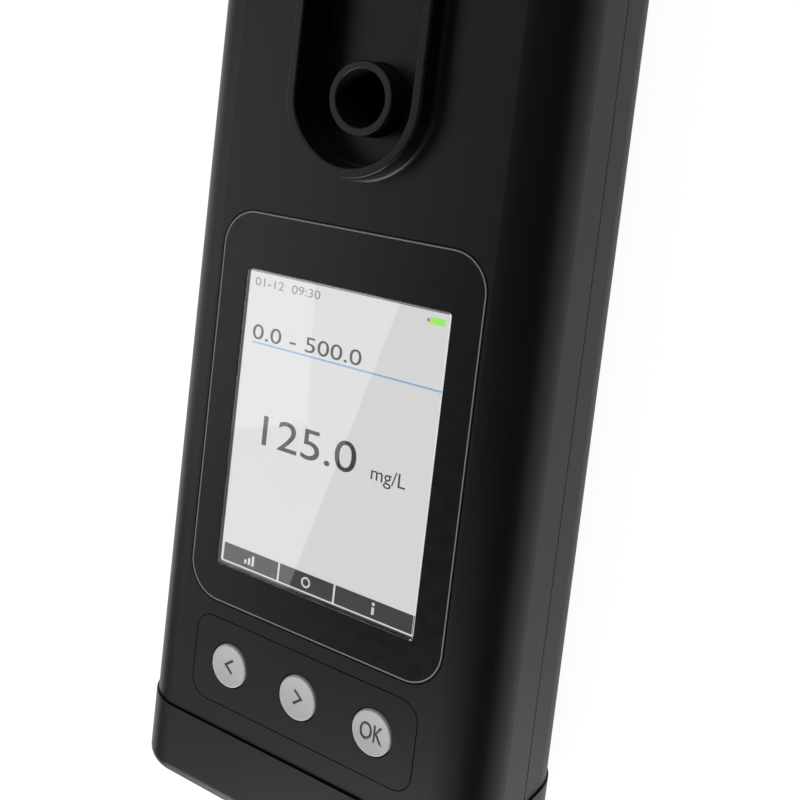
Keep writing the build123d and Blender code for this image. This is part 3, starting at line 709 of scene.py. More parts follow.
def stroke(points: Sequence[Point], width: float, sharpest: float = 0.3) -> list[Point]:
    """Give a bent stroke mitred corners and square ends.

    Args:
        points: Path of the stroke.
        width: Its width.
        sharpest: Least cosine that a mitre is worked out with.

    Returns:
        Its outline.
    """
    path = [Vector(point) for point in points]
    runs = [(b - a).normalized() for a, b in zip(path, path[1:])]
    left, right = [], []
    for place, point in enumerate(path):
        before = runs[max(place - 1, 0)]
        after = runs[min(place, len(runs) - 1)]
        side = Vector((-(before + after).y, (before + after).x)).normalized()
        cosine = side.dot(Vector((-before.y, before.x)))
        reach = side * (width / 2 / max(cosine, sharpest))
        left.append(tuple(point + reach))
        right.append(tuple(point - reach))
    return right + left[::-1]


def add_loop(cage: Cage, outline: Sequence[Point], height: float) -> list[bmesh.types.BMVert]:
    """Add the corners of an outline at a height and return them."""
    return [cage.verts.new((x, y, height)) for x, y in outline]


def add_wall(
    cage: Cage,
    first: Sequence[bmesh.types.BMVert],
    second: Sequence[bmesh.types.BMVert],
) -> None:
    """Join two loops of as many corners each by a band of faces.

    Args:
        cage: Mesh that the faces go into.
        first: One loop.
        second: The other loop.
    """
    for place in range(len(first)):
        following = (place + 1) % len(first)
        cage.faces.new((first[place], first[following], second[following], second[place]))


def slabs_mesh(name: str, outlines: Sequence[Sequence[Point]], low: float, high: float) -> Mesh:
    """Make one mesh with a straight-sided slab for each outline.

    Args:
        name: Name of the mesh.
        outlines: Outline of each slab.
        low: Height of their lower faces.
        high: Height of their upper faces.

    Returns:
        The mesh.
    """

    def fill(cage: Cage) -> None:
        """Add the slabs to a cage.

        Args:
            cage: Mesh that they go into.
        """
        for outline in outlines:
            bottom = add_loop(cage, outline, low)
            top = add_loop(cage, outline, high)
            cage.faces.new(bottom[::-1])
            cage.faces.new(top)
            add_wall(cage, bottom, top)

    return mesh_from(name, fill)


def ring_mesh(name: str, outer: Sequence[Point], inner: Sequence[Point], low: float, high: float) -> Mesh:
    """Make a flat ring between two outlines of as many points each.

    Args:
        name: Name of the mesh.
        outer: Its outer outline.
        inner: Its inner outline.
        low: Height of its lower face.
        high: Height of its upper face.

    Returns:
        The mesh.
    """

    def fill(cage: Cage) -> None:
        """Add the ring's four sides to a cage.

        Args:
            cage: Mesh that they go into.
        """
        edges = ((outer, low), (outer, high), (inner, high), (inner, low))
        loops = [add_loop(cage, outline, height) for outline, height in edges]
        for first, second in zip(loops, loops[1:] + loops[:1]):
            add_wall(cage, first, second)

    return mesh_from(name, fill)


def flat_mesh(name: str, outline: Sequence[Point]) -> Mesh:
    """Return the mesh of one flat face at height 0."""
    return mesh_from(name, lambda cage: cage.faces.new(add_loop(cage, outline, 0.0)))


def words_mesh(
    words: str,
    low_corner: Point,
    high_corner: Point,
    bold: float = 0.0,
    steps: int = 5,
) -> Mesh:
    """Set words or figures as a flat mesh that fills a box.

    Args:
        words: What is set.
        low_corner: Lower left corner of the box.
        high_corner: Upper right corner of the box.
        bold: Share of the letters' size that their strokes grow by.
        steps: Sides that each curved stretch of a letter is drawn with.

    Returns:
        The mesh, at height 0.
    """
    text = bpy.data.curves.new("words", "FONT")
    text.body = words
    text.offset = bold
    text.resolution_u = steps
    mesh = evaluated_mesh(bpy.data.objects.new("words", text))
    bpy.data.curves.remove(text)
    lows = [min(v.co[axis] for v in mesh.vertices) for axis in (0, 1)]
    highs = [max(v.co[axis] for v in mesh.vertices) for axis in (0, 1)]
    scales = [(high_corner[a] - low_corner[a]) / (highs[a] - lows[a]) for a in (0, 1)]
    for vertex in mesh.vertices:
        x, y = ((vertex.co[a] - lows[a]) * scales[a] + low_corner[a] for a in (0, 1))
        vertex.co = (x, y, 0.0)
    return mesh


def thicken(
    flat: Mesh,
    low: Callable[[float, float], float],
    high: Callable[[float, float], float],
    cell: float = 0.0,
) -> Mesh:
    """Turn a flat mesh into a closed skin between two surfaces.

    Args:
        flat: Mesh at height 0.
        low: Height of the lower surface at a place.
        high: Height of the upper surface at a place.
        cell: Width of the strips that it is first cut into, or 0 to leave its faces whole.

    Returns:
        The skin.
    """

    def fill(cage: Cage) -> None:
        """Cut the flat mesh up and extrude it.

        Args:
            cage: Empty mesh that it goes into.
        """
        cage.from_mesh(flat)
        bmesh.ops.remove_doubles(cage, verts=cage.verts, dist=MERGE_REACH)
        for axis in (0, 1) if cell else ():
            lowest = min(v.co[axis] for v in cage.verts)
            highest = max(v.co[axis] for v in cage.verts)
            for cut in range(1, math.ceil((highest - lowest) / cell)):
                place = Vector((0, 0, 0))
                place[axis] = lowest + cut * cell
                way = Vector((0, 0, 0))
                way[axis] = 1
                everything = cage.verts[:] + cage.edges[:] + cage.faces[:]
                bmesh.ops.bisect_plane(cage, geom=everything, plane_co=place, plane_no=way)
        made = bmesh.ops.extrude_face_region(cage, geom=cage.faces[:])["geom"]
        raised = {item for item in made if isinstance(item, bmesh.types.BMVert)}
        for vertex in cage.verts:
            surface = high if vertex in raised else low
            vertex.co.z = surface(vertex.co.x, vertex.co.y)

    mesh = mesh_from(flat.name, fill)
    bpy.data.meshes.remove(flat)
    return mesh


def middle(node: str) -> Point:
    """Return the middle of a node seen from the front."""
    low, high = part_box(node)
    return ((low.x + high.x) / 2, (low.y + high.y) / 2)


def islands(node: str) -> list[tuple[Vector, Vector]]:
    """Find the separate solids of a CAD node.

    Args:
        node: Name of the node.

    Returns:
        The lowest and highest corner of each solid, in order of place.
    """
    cage = bmesh.new()
    cage.from_mesh(frame["nodes"][node].data)
    bmesh.ops.remove_doubles(cage, verts=cage.verts, dist=FRAME_MERGE_REACH)
    waiting = set(cage.verts)
    boxes = []
    while waiting:
        front = [waiting.pop()]
        solid = list(front)
        while front:
            vertex = front.pop()
            for edge in vertex.link_edges:
                other = edge.other_vert(vertex)
                if other in waiting:
                    waiting.remove(other)
                    front.append(other)
                    solid.append(other)
        low = Vector([min(v.co[axis] for v in solid) for axis in range(3)])
        high = Vector([max(v.co[axis] for v in solid) for axis in range(3)])
        boxes.append((low, high))
    cage.free()
    return sorted(boxes, key=lambda box: tuple(box[0]))


class GeometryTree:
    """Geometry node tree with named inputs, run once on a set of points."""

    def __init__(self, name: str) -> None:
        """Make an empty tree.

        Args:
            name: Name of the tree.
        """
        self.tree = bpy.data.node_groups.new(name, "GeometryNodeTree")
        self.wiring = Wiring(self.tree)
        self.tree.interface.new_socket("Points", in_out="INPUT", socket_type="NodeSocketGeometry")
        self.tree.interface.new_socket("Geometry", in_out="OUTPUT", socket_type="NodeSocketGeometry")
        self.identifiers: dict[str, str] = {}
        self.entry = self.wiring.add("NodeGroupInput")

    def size(self, name: str, kind: str = "NodeSocketFloat") -> Socket:
        """Add a named input.

        Args:
            name: Its name.
            kind: Blender's name for its type.

        Returns:
            Its socket inside the tree.
        """
        made = self.tree.interface.new_socket(name, in_out="INPUT", socket_type=kind)
        self.identifiers[name] = made.identifier
        return self.entry.outputs[name]

    def cylinder(self, radius: Value, height: Value, low: Value, sides: int) -> Socket:
        """Add an upright cylinder.

        Args:
            radius: Its radius.
            height: Its height.
            low: Height of its foot.
            sides: Number of its sides.

        Returns:
            Its geometry.
        """
        inputs = {"Vertices": sides, "Radius": radius, "Depth": height}
        made = self.wiring.add("GeometryNodeMeshCylinder", inputs)
        middle = self.wiring.calculate("MULTIPLY", height, 0.5)
        return self.raised(made.outputs["Mesh"], self.wiring.calculate("ADD", middle, low))

    def raised(self, geometry: Socket, height: Value) -> Socket:
        """Move a geometry up.

        Args:
            geometry: What is moved.
            height: How far.

        Returns:
            The moved geometry.
        """
        shift = self.wiring.add("ShaderNodeCombineXYZ", {"Z": height}).outputs[0]
        moved = self.wiring.add("GeometryNodeTransform", {"Geometry": geometry, "Translation": shift})
        return moved.outputs["Geometry"]

    def joined(self, *parts: Socket) -> Socket:
        """Join geometries.

        Args:
            *parts: The geometries.

        Returns:
            All of them as one.
        """
        join = self.wiring.add("GeometryNodeJoinGeometry")
        for part in parts:
            self.tree.links.new(part, join.inputs[0])
        return join.outputs[0]

    def close(self, item: Socket) -> None:
        """Put an item on every point, with the Turn input's turn and the Finish input's material.

        Args:
            item: Geometry of the item.
        """
        turn = self.size("Turn", "NodeSocketVector")
        finish = self.size("Finish", "NodeSocketMaterial")
        turned = self.wiring.add("FunctionNodeEulerToRotation", {"Euler": turn}).outputs[0]
        inputs = {"Points": self.entry.outputs["Points"], "Instance": item, "Rotation": turned}
        placed = self.wiring.add("GeometryNodeInstanceOnPoints", inputs).outputs[0]
        real = self.wiring.add("GeometryNodeRealizeInstances", {"Geometry": placed}).outputs[0]
        inputs = {"Geometry": real, "Material": finish}
        dressed = self.wiring.add("GeometryNodeSetMaterial", inputs).outputs[0]
        self.wiring.add("NodeGroupOutput", {"Geometry": dressed})

    def run(self, points: Sequence[Vector], values: dict[str, Value], edge: float = 0.0) -> Mesh:
        """Run the tree on points.

        Args:
            points: Where an item is put.
            values: Value of each named input.
            edge: Width of the bevel on sharp edges, or 0.

        Returns:
            The result as a plain mesh.
        """
        seed = bpy.data.meshes.new(self.tree.name)
        seed.from_pydata([tuple(point) for point in points], [], [])
        carrier = bpy.data.objects.new(self.tree.name, seed)
        modifier = carrier.modifiers.new("items", "NODES")
        modifier.node_group = self.tree
        for name, value in values.items():
            modifier[self.identifiers[name]] = value
        if edge:
            bevel = carrier.modifiers.new("edge", "BEVEL")
            bevel.width = edge
            bevel.segments = 2
        return evaluated_mesh(carrier)


HEAD_SIDES = 48
SHANK_SIDES = 24
SOCKET_SIDES = 6
PAD_SIDES = 64


def socket_screw_tree() -> GeometryTree:
    """Return the tree of a screw with a round head, a hexagon socket and a shank.

    Its head's outer face is at height 0 and its shank points up.

    Returns:
        The tree.
    """
    tree = GeometryTree("socket_screws")
    head_radius = tree.size("Head radius")
    head_height = tree.size("Head height")
    shank_radius = tree.size("Shank radius")
    shank_length = tree.size("Shank length")
    socket_radius = tree.size("Socket radius")
    socket_depth = tree.size("Socket depth")
    head = tree.cylinder(head_radius, head_height, 0.0, HEAD_SIDES)
    twice = tree.wiring.calculate("MULTIPLY", socket_depth, 2.0)
    below = tree.wiring.calculate("MULTIPLY", socket_depth, -1.0)
    socket = tree.cylinder(socket_radius, twice, below, SOCKET_SIDES)
    inputs = {"Mesh 1": head, "Mesh 2": socket}
    cut = tree.wiring.add("GeometryNodeMeshBoolean", inputs, operation="DIFFERENCE")
    shank = tree.cylinder(shank_radius, shank_length, head_height, SHANK_SIDES)
    tree.close(tree.joined(cut.outputs["Mesh"], shank))
    return tree


def ribbed_pad_tree(ribs: Sequence[float]) -> GeometryTree:
    """Return the tree of a round pad with raised rings under it.

    Args:
        ribs: Radius of each ring as a share of the pad's radius.

    Returns:
        The tree.
    """
    tree = GeometryTree("ribbed_pads")
    radius = tree.size("Radius")
    height = tree.size("Height")
    rib_width = tree.size("Rib width")
    rib_height = tree.size("Rib height")
    rise = tree.wiring.calculate("SUBTRACT", height, rib_height)
    parts = [tree.cylinder(radius, rise, rib_height, PAD_SIDES)]
    for share in ribs:
        ring_radius = tree.wiring.calculate("MULTIPLY", radius, share)
        inputs = {"Resolution": PAD_SIDES, "Radius": ring_radius}
        path = tree.wiring.add("GeometryNodeCurvePrimitiveCircle", inputs)
        section = tree.wiring.add("GeometryNodeCurvePrimitiveQuadrilateral", {0: rib_width, 1: rib_height})
        ring = tree.wiring.add("GeometryNodeCurveToMesh", {0: path.outputs[0], 1: section.outputs[0]})
        parts.append(tree.raised(ring.outputs["Mesh"], tree.wiring.calculate("MULTIPLY", rib_height, 0.5)))
    tree.close(tree.joined(*parts))
    return tree


@dataclass(frozen=True)
class SoftLamp:
    """Rectangular lamp that points at the instrument, with its power in watts."""

    name: str
    place: Place
    size: Point
    power: float


@dataclass
class Studio:
    """Camera, lamps, floor and surroundings."""

    camera_place: Place = (0.125862, 0.022326, 0.231216)
    camera_turn: tuple[float, float, float, float] = (0.9587795, -0.0252909, 0.2749744, 0.0670168)
    lens: float = 51.1028
    shift: Point = (0.0, -0.25)
    nearest: float = 0.01
    floor_reach: float = 4.0
    floor_depth: float = 0.002
    floor_colour: Colour = (0.8, 0.8, 0.8)
    key_edge: tuple[Point, Point] = ((-0.3468, -0.1338), (-0.4177, -0.3719))
    key_height: float = 0.645
    key_size: Point = (0.7, 1.2)
    key_power: float = 2.8
    aim: Place = (0.0, -0.05, 0.03)
    soft_lamps: tuple[SoftLamp, ...] = (
        SoftLamp("top_light", (0.15, 1.1, 0.9), (1.2, 0.8), 6.6),
        SoftLamp("left_light", (-0.8, -0.1, 0.4), (0.5, 1.0), 1.1),
        SoftLamp("low_light", (-0.1, -0.9, 0.45), (0.8, 0.4), 12.0),
    )
    white: Colour = (1.0, 1.0, 1.0)
    surroundings: float = 0.066
    shadowless_share: float = 0.85
    mirrored_share: float = 0.4
    floor_white: float = 1.12

    def build(self) -> None:
        """Add the camera, the lamps, the floor and the world, and set the view transform."""
        self.add_camera()
        self.add_key()
        for soft_lamp in self.soft_lamps:
            self.add_soft_lamp(soft_lamp)
        self.add_floor()
        self.add_world()
        bpy.context.scene.view_settings.view_transform = "Standard"

    def add_camera(self) -> None:
        """Put the camera at the photograph's viewing angle."""
        camera = bpy.data.objects.new("camera", bpy.data.cameras.new("camera"))
        camera.rotation_mode = "QUATERNION"
        camera.location = self.camera_place
        camera.rotation_quaternion = Quaternion(self.camera_turn)
        camera.data.lens = self.lens
        camera.data.shift_x, camera.data.shift_y = self.shift
        camera.data.clip_start = self.nearest
        bpy.context.scene.collection.objects.link(camera)
        bpy.context.scene.camera = camera

    def add_key(self) -> None:
        """Hang the large lamp whose edge shows in the display's window."""
        first, second = (Vector(point) for point in self.key_edge)
        along = (first - second).normalized()
        outwards = Vector((-along.y, along.x))
        centre = (first + second) / 2 + outwards * self.key_size[0] / 2
        lamp = self.add_lamp("key_light", self.key_size, self.key_power)
        lamp.location = (*centre, self.key_height)
        lamp.rotation_euler = (0.0, 0.0, math.atan2(along.y, along.x) - math.pi / 2)

    def add_soft_lamp(self, soft_lamp: SoftLamp) -> None:
        """Hang a soft lamp and point it at the instrument.

        Args:
            soft_lamp: Name, place, size and power of the lamp.
        """
        lamp = self.add_lamp(soft_lamp.name, soft_lamp.size, soft_lamp.power)
        lamp.location = soft_lamp.place
        way = Vector(self.aim) - Vector(soft_lamp.place)
        lamp.rotation_euler = way.to_track_quat("-Z", "Y").to_euler()

    def add_lamp(self, name: str, size: Point, power: float) -> bpy.types.Object:
        """Add a rectangular lamp at the origin.

        Args:
            name: Its name.
            size: Its width and length.
            power: Its power in watts.

        Returns:
            The lamp.
        """
        data = bpy.data.lights.new(name, "AREA")
        data.shape = "RECTANGLE"
        data.size, data.size_y = size
        data.energy = power
        lamp = bpy.data.objects.new(name, data)
        bpy.context.scene.collection.objects.link(lamp)
        return lamp

    def add_floor(self) -> None:
        """Lay the white floor, which keeps a faint shadow."""
        reach = self.floor_reach
        outline = rounded_rectangle((0, 0), (reach, reach), reach / 4)
        floor = bpy.data.objects.new("floor", slabs_mesh("floor", [outline], -self.floor_depth, 0.0))
        material = bpy.data.materials.new("white_floor")
        material.use_nodes = True
        wiring = Wiring(material.node_tree)
        matt = wiring.add("ShaderNodeBsdfDiffuse", {"Color": opaque(self.floor_colour)})
        inputs = {"Color": opaque(self.white), "Strength": self.floor_white}
        white = wiring.add("ShaderNodeEmission", inputs)
        path = wiring.add("ShaderNodeLightPath")
        seen = wiring.calculate("MULTIPLY", path.outputs["Is Camera Ray"], self.shadowless_share)
        mirrored = wiring.calculate("MULTIPLY", path.outputs["Is Glossy Ray"], self.mirrored_share)
        share = wiring.calculate("MAXIMUM", seen, mirrored)
        mix = wiring.add("ShaderNodeMixShader", {0: share, 1: matt.outputs[0], 2: white.outputs[0]})
        wiring.add("ShaderNodeOutputMaterial", {"Surface": mix.outputs[0]})
        floor.data.materials.append(material)
        bpy.context.scene.collection.objects.link(floor)

    def add_world(self) -> None:
        """Surround the instrument with a plain pale light that looks white."""
        world = bpy.data.worlds.new("studio")
        world.use_nodes = True
        wiring = Wiring(world.node_tree)
        soft, white = (
            wiring.add("ShaderNodeBackground", {"Color": opaque(self.white), "Strength": strength})
            for strength in (self.surroundings, 1.0)
        )
        path = wiring.add("ShaderNodeLightPath").outputs
        seen = wiring.calculate("MAXIMUM", path["Is Camera Ray"], path["Is Transmission Ray"])
        mix = wiring.add("ShaderNodeMixShader", {0: seen, 1: soft.outputs[0], 2: white.outputs[0]})
        wiring.add("ShaderNodeOutputWorld", {"Surface": mix.outputs[0]})
        bpy.context.scene.world = world


@dataclass
class CarriedNodes:
    """Solids of the frame that keep their shape and get a finer finish."""

    finishes: dict[str, Finish] = field(default_factory=lambda: FINISHES)

    def dress(self) -> None:
        """Give every node the finish of its slot."""
        for subpart in frame["record"]["subparts"]:
            finish = self.finishes[subpart["material_slot"]]
            for place in frame["nodes"][subpart["node"]].material_slots:
                place.material = finish.material()
            LOG.info("%s: %s", subpart["node"], finish.name)


@dataclass
class DisplayWindow:
    """Clear pane with a polished edge, and the printed outline of the panel round it."""

    edge_mm: float = 0.3
    outline_inset_mm: float = 0.2
    outline_mm: float = 0.26
    outline_rise_mm: float = 0.012
    corner_mm: float = 8.0
    corner_steps: int = 16
    pane_corner_mm: float = 0.75

    def build(self) -> None:
        """Make the pane and the outline."""
        low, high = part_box("display_window")
        centre = middle("display_window")
        size = (high.x - low.x, high.y - low.y)
        edge = self.edge_mm * MM
        corner = self.pane_corner_mm * MM
        outer = rounded_rectangle(centre, size, corner)
        inner = rounded_rectangle(centre, (size[0] - 2 * edge, size[1] - 2 * edge), corner - edge)

        def fill(cage: Cage) -> None:
            """Add the pane's walls, its polished edge and its faces to a cage.

            Args:
                cage: Mesh that they go into.
            """
            levels = ((outer, low.z), (outer, high.z - edge / 2), (inner, high.z))
            loops = [add_loop(cage, outline, height) for outline, height in levels]
            cage.faces.new(loops[0][::-1])
            cage.faces.new(loops[-1])
            for lower, upper in zip(loops, loops[1:]):
                add_wall(cage, lower, upper)

        pane = mesh_from("window_pane", fill)
        add_piece("window_pane", pane, FINISHES["window"], Body.HOUSING, Slot.WINDOW, ["display_window"])
        self.add_outline()

    def add_outline(self) -> None:
        """Print the thin line along the panel's edge."""
        low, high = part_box("display_panel")
        centre = middle("display_panel")
        corner = self.corner_mm * MM
        loops = []
        for inset in (self.outline_inset_mm * MM, (self.outline_inset_mm + self.outline_mm) * MM):
            size = (high.x - low.x - 2 * inset, high.y - low.y - 2 * inset)
            loops.append(rounded_rectangle(centre, size, corner - inset, self.corner_steps))
        line = ring_mesh("panel_outline", *loops, high.z, high.z + self.outline_rise_mm * MM)
        add_piece("panel_outline", line, OUTLINE_GREY, Body.HOUSING, Slot.PANEL)


@dataclass(frozen=True)
class Words:
    """Figures or letters on the display, with the corners of the box that they fill."""

    name: str
    text: str
    low_mm: Point
    high_mm: Point
    finish: Finish


@dataclass(frozen=True)
class Patch:
    """Plain rectangle on the display, given by its left, low, right and high side."""

    name: str
    sides_mm: tuple[float, float, float, float]
    finish: Finish


@dataclass
class Picture:
    """What the display shows: plain figures, a line, a battery sign and three soft-key fields.

    Places are in millimetres from the middle of the lit area.
    """

    size_mm: Point = (49.0, 63.6)
    corner_mm: float = 0.3
    corner_steps: int = 3
    skin_mm: float = 0.02
    words: tuple[Words, ...] = (
        Words("clock", "01-12  09:30", (-23.0, 28.9), (-6.0, 30.7), SCREEN_GREY),
        Words("span", "0.0 - 500.0", (-22.3, 17.6), (5.6, 20.8), SCREEN_BLACK),
        Words("reading", "125.0", (-16.9, -4.3), (7.1, 2.1), SCREEN_BLACK),
        Words("unit", "mg/L", (10.9, -4.9), (19.0, -1.1), SCREEN_BLACK),
    )
    patches: tuple[Patch, ...] = (
        Patch("underline", (-22.2, 16.7, 24.3, 17.05), SCREEN_BLUE),
        Patch("battery_level", (20.1, 29.3, 23.5, 30.7), SCREEN_GREEN),
        Patch("battery_tip", (19.5, 29.65, 20.0, 30.35), SCREEN_GREY),
    )
    bar_left_mm: float = 0.4
    bar_foot_mm: float = 0.35
    bar_head_mm: float = 4.2
    bar_cuts_mm: tuple[float, float] = (-8.9, 5.4)
    cut_mm: float = 0.5
    sign_drop_mm: float = 1.1
    stroke_mm: float = 0.6
    column_places_mm: tuple[float, ...] = (-1.6, -0.6, 0.4)
    column_heights_mm: tuple[float, ...] = (0.9, 1.5, 2.2)
    ring_mm: Point = (2.3, 1.5)
    stem_head_mm: float = 0.4
    dot_mm: Point = (0.75, 1.35)

    def build(self) -> None:
        """Make the lit area and everything drawn on it."""
        size = (self.size_mm[0] * MM, self.size_mm[1] * MM)
        lit = rounded_rectangle(self.at(0.0, 0.0), size, self.corner_mm * MM, self.corner_steps)
        self.add_outlines("lit_area", [lit], SCREEN_WHITE, 0)
        for words in self.words:
            self.add_words(words)
        for patch in self.patches:
            self.add_boxes(f"screen_{patch.name}", [patch.sides_mm], patch.finish, 1)
        self.add_soft_keys()

    def at(self, x_mm: float, y_mm: float) -> Point:
        """Return a place of the picture in the instrument's frame."""
        centre = middle("display_window")
        return (centre[0] + x_mm * MM, centre[1] + y_mm * MM)

    def height(self, layer: int) -> float:
        """Return the height of a layer's lower face."""
        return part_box("lcd_panel")[1].z + layer * self.skin_mm * MM

    def add_words(self, words: Words) -> None:
        """Set figures or letters on the lit area.

        Args:
            words: What is set, and where.
        """
        flat = words_mesh(words.text, self.at(*words.low_mm), self.at(*words.high_mm))
        low, high = self.height(1), self.height(2)
        mesh = thicken(flat, lambda x, y: low, lambda x, y: high)
        add_piece(f"screen_{words.name}", mesh, words.finish, Body.HOUSING, Slot.DISPLAY)

    def add_boxes(
        self,
        name: str,
        boxes: Sequence[tuple[float, float, float, float]],
        finish: Finish,
        layer: int,
    ) -> None:
        """Fill rectangles of the picture.

        Args:
            name: Name of the piece.
            boxes: Left, low, right and high side of each rectangle.
            finish: Finish of the piece.
            layer: Layer that it lies in.
        """
        outlines = [
            [self.at(left, foot), self.at(right, foot), self.at(right, head), self.at(left, head)]
            for left, foot, right, head in boxes
        ]
        self.add_outlines(name, outlines, finish, layer)

    def add_outlines(
        self,
        name: str,
        outlines: Sequence[Sequence[Point]],
        finish: Finish,
        layer: int,
    ) -> None:
        """Fill outlines of the picture.

        Args:
            name: Name of the piece.
            outlines: The outlines, in the instrument's frame.
            finish: Finish of the piece.
            layer: Layer that it lies in.
        """
        mesh = slabs_mesh(name, outlines, self.height(layer), self.height(layer + 1))
        add_piece(name, mesh, finish, Body.HOUSING, Slot.DISPLAY)

    def add_soft_keys(self) -> None:
        """Draw the three dark fields over the soft keys, each with its sign."""
        left, lowest = -self.size_mm[0] / 2, -self.size_mm[1] / 2
        foot, head = lowest + self.bar_foot_mm, lowest + self.bar_head_mm
        stops = [left + self.bar_left_mm, *self.bar_cuts_mm, -left]
        sides = [
            (start + self.cut_mm / 2, foot, stop - self.cut_mm / 2, head)
            for start, stop in zip(stops, stops[1:])
        ]
        self.add_boxes("screen_soft_keys", sides, SCREEN_BLACK, 1)
        history, aim, detail = (((box[0] + box[2]) / 2, (box[1] + box[3]) / 2) for box in sides)
        self.add_history_sign(*history)
        self.add_aim_sign(*aim)
        self.add_detail_sign(*detail)

    def add_history_sign(self, x: float, y: float) -> None:
        """Draw three rising columns round a place.

        Args:
            x: Its distance to the right of the picture's middle.
            y: Its distance above the middle.
        """
        foot = y - self.sign_drop_mm
        columns = [
            (x + place, foot, x + place + self.stroke_mm, foot + rise)
            for place, rise in zip(self.column_places_mm, self.column_heights_mm)
        ]
        self.add_boxes("screen_history_sign", columns, SCREEN_WHITE, 2)

    def add_aim_sign(self, x: float, y: float) -> None:
        """Draw a small ring round a place.

        Args:
            x: Its distance to the right of the picture's middle.
            y: Its distance above the middle.
        """
        outer, inner = (ellipse(self.at(x, y), (width * MM, width * MM)) for width in self.ring_mm)
        ring = ring_mesh("aim_sign", outer, inner, self.height(2), self.height(3))
        add_piece("screen_aim_sign", ring, SCREEN_WHITE, Body.HOUSING, Slot.DISPLAY)

    def add_detail_sign(self, x: float, y: float) -> None:
        """Draw a stem with a dot over it round a place.

        Args:
            x: Its distance to the right of the picture's middle.
            y: Its distance above the middle.
        """
        half = self.stroke_mm / 2
        stem = (x - half, y - self.sign_drop_mm, x + half, y + self.stem_head_mm)
        dot = (x - half, y + self.dot_mm[0], x + half, y + self.dot_mm[1])
        self.add_boxes("screen_detail_sign", [stem, dot], SCREEN_WHITE, 2)


@dataclass
class KeySigns:
    """Signs printed on the dished tops of the keys."""

    skin_mm: float = 0.02
    root_mm: float = 0.03
    cell_mm: float = 0.5
    top_mm: float = 9.24
    edge_mm: float = 0.35
    dish_mm: float = 0.25
    chevron_mm: Point = (1.9, 3.0)
    stroke_mm: float = 0.55
    word_mm: Point = (5.5, 3.7)
    word_bold: float = 0.012

    def build(self) -> None:
        """Print a chevron on two keys and the word OK on the third."""
        half_width, half_height = self.chevron_mm[0] / 2 * MM, self.chevron_mm[1] / 2 * MM
        for name, node, body, side in (
            ("sign_left", "key_left", Body.LEFT_KEY, -1),
            ("sign_right", "key_right", Body.RIGHT_KEY, 1),
        ):
            x, y = middle(node)
            path = [
                (x - side * half_width, y + half_height),
                (x + side * half_width, y),
                (x - side * half_width, y - half_height),
            ]
            flat = flat_mesh(name, stroke(path, self.stroke_mm * MM))
            self.print_on(node, name, flat, body)
        x, y = middle("key_ok")
        half_width, half_height = self.word_mm[0] / 2 * MM, self.word_mm[1] / 2 * MM
        low, high = (x - half_width, y - half_height), (x + half_width, y + half_height)
        flat = words_mesh("OK", low, high, self.word_bold)
        self.print_on("key_ok", "sign_ok", flat, Body.CONFIRM_KEY)

    def print_on(self, node: str, name: str, flat: Mesh, body: Body) -> None:
        """Lay a flat sign on a key's dished top.

        Args:
            node: The key.
            name: Name of the sign.
            flat: Its mesh at height 0.
            body: Body that it rides on.
        """
        centre = Vector(middle(node))
        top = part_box(node)[1].z
        rim = self.top_mm * MM / 2 - self.edge_mm * MM
        dish = self.dish_mm * MM
        radius = (rim**2 + dish**2) / (2 * dish)

        def dished(x: float, y: float) -> float:
            """Return the height of the key's top at a place."""
            reach = (Vector((x, y)) - centre).length
            return top - dish + radius - math.sqrt(radius**2 - reach**2)

        mesh = thicken(
            flat,
            lambda x, y: dished(x, y) - self.root_mm * MM,
            lambda x, y: dished(x, y) + self.skin_mm * MM,
            self.cell_mm * MM,
        )
        add_piece(name, mesh, SIGN_BLACK, body, Slot.KEYS)


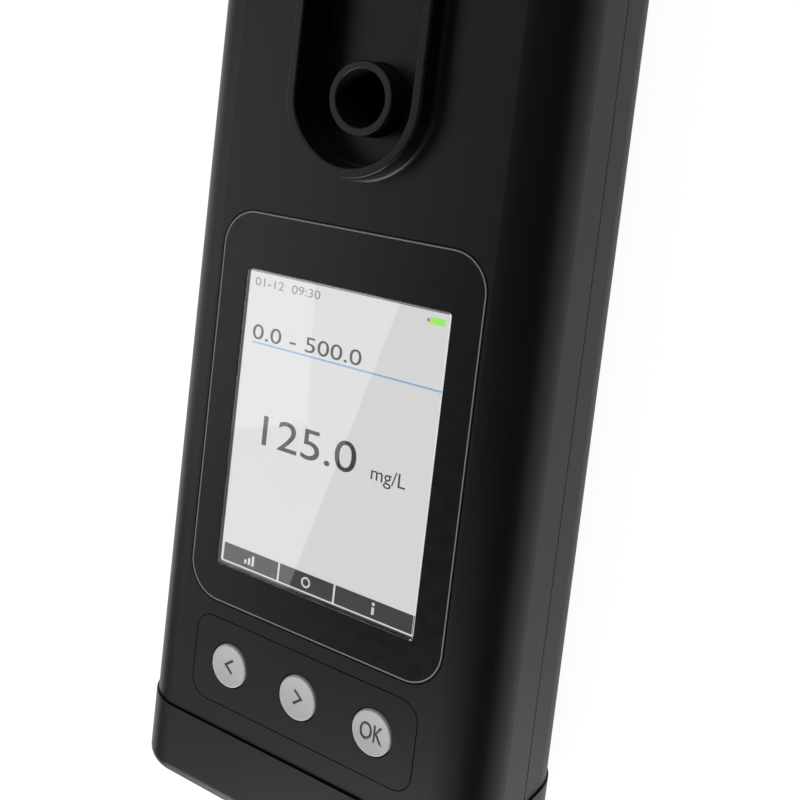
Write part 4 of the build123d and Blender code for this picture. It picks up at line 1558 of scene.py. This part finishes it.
@dataclass
class Fasteners:
    """Socket screws that show at the bottom end and in the back."""

    head_radius_mm: float = 2.7
    head_height_mm: float = 2.0
    shank_radius_mm: float = 1.5
    socket_radius_mm: float = 1.45
    socket_depth_mm: float = 1.2
    edge_mm: float = 0.18

    def build(self) -> None:
        """Make the screws of the housing and of the end cap."""
        tree = socket_screw_tree()
        self.place(tree, "housing_screws", Body.HOUSING, Way.DOWN)
        self.place(tree, "cap_screws", Body.END_CAP, Way.BOTTOM_END)

    def place(self, tree: GeometryTree, node: str, body: Body, way: Way) -> None:
        """Put a screw in the place of each solid of a node.

        Args:
            tree: Tree that makes the screws.
            node: Node that they stand for.
            body: Body that they ride on.
            way: Way that their heads face.
        """
        axis = 2 if way is Way.DOWN else 1
        boxes = islands(node)
        heads = []
        for low, high in boxes:
            head = (low + high) / 2
            head[axis] = low[axis]
            heads.append(head)
        first_low, first_high = boxes[0]
        length = first_high[axis] - first_low[axis] - self.head_height_mm * MM
        values = {
            "Head radius": self.head_radius_mm * MM,
            "Head height": self.head_height_mm * MM,
            "Shank radius": self.shank_radius_mm * MM,
            "Shank length": length,
            "Socket radius": self.socket_radius_mm * MM,
            "Socket depth": self.socket_depth_mm * MM,
            "Turn": way.value,
            "Finish": FINISHES["screws"].material(),
        }
        mesh = tree.run(heads, values, self.edge_mm * MM)
        add_piece(f"socket_{node}", mesh, FINISHES["screws"], body, Slot.SCREWS, [node])


@dataclass
class RestPads:
    """Rubber pads with raised rings."""

    rib_shares: tuple[float, ...] = (0.3, 0.58, 0.86)
    rib_mm: Point = (0.6, 0.3)

    def build(self) -> None:
        """Put a ribbed pad in the place of each plain one."""
        boxes = islands("rest_pads")
        low, high = boxes[0]
        values = {
            "Radius": (high.x - low.x) / 2,
            "Height": high.z - low.z,
            "Rib width": self.rib_mm[0] * MM,
            "Rib height": self.rib_mm[1] * MM,
            "Turn": Way.DOWN.value,
            "Finish": FINISHES["rubber"].material(),
        }
        feet = [Vector(((a.x + b.x) / 2, (a.y + b.y) / 2, a.z)) for a, b in boxes]
        mesh = ribbed_pad_tree(self.rib_shares).run(feet, values)
        add_piece("ribbed_pads", mesh, FINISHES["rubber"], Body.HOUSING, Slot.RUBBER, ["rest_pads"])


def main() -> None:
    """Build the scene in order."""
    logging.basicConfig(level=logging.INFO, format="%(message)s")
    Studio().build()
    CarriedNodes().dress()
    DisplayWindow().build()
    Picture().build()
    KeySigns().build()
    Fasteners().build()
    RestPads().build()


if __name__ == "__main__":
    main()
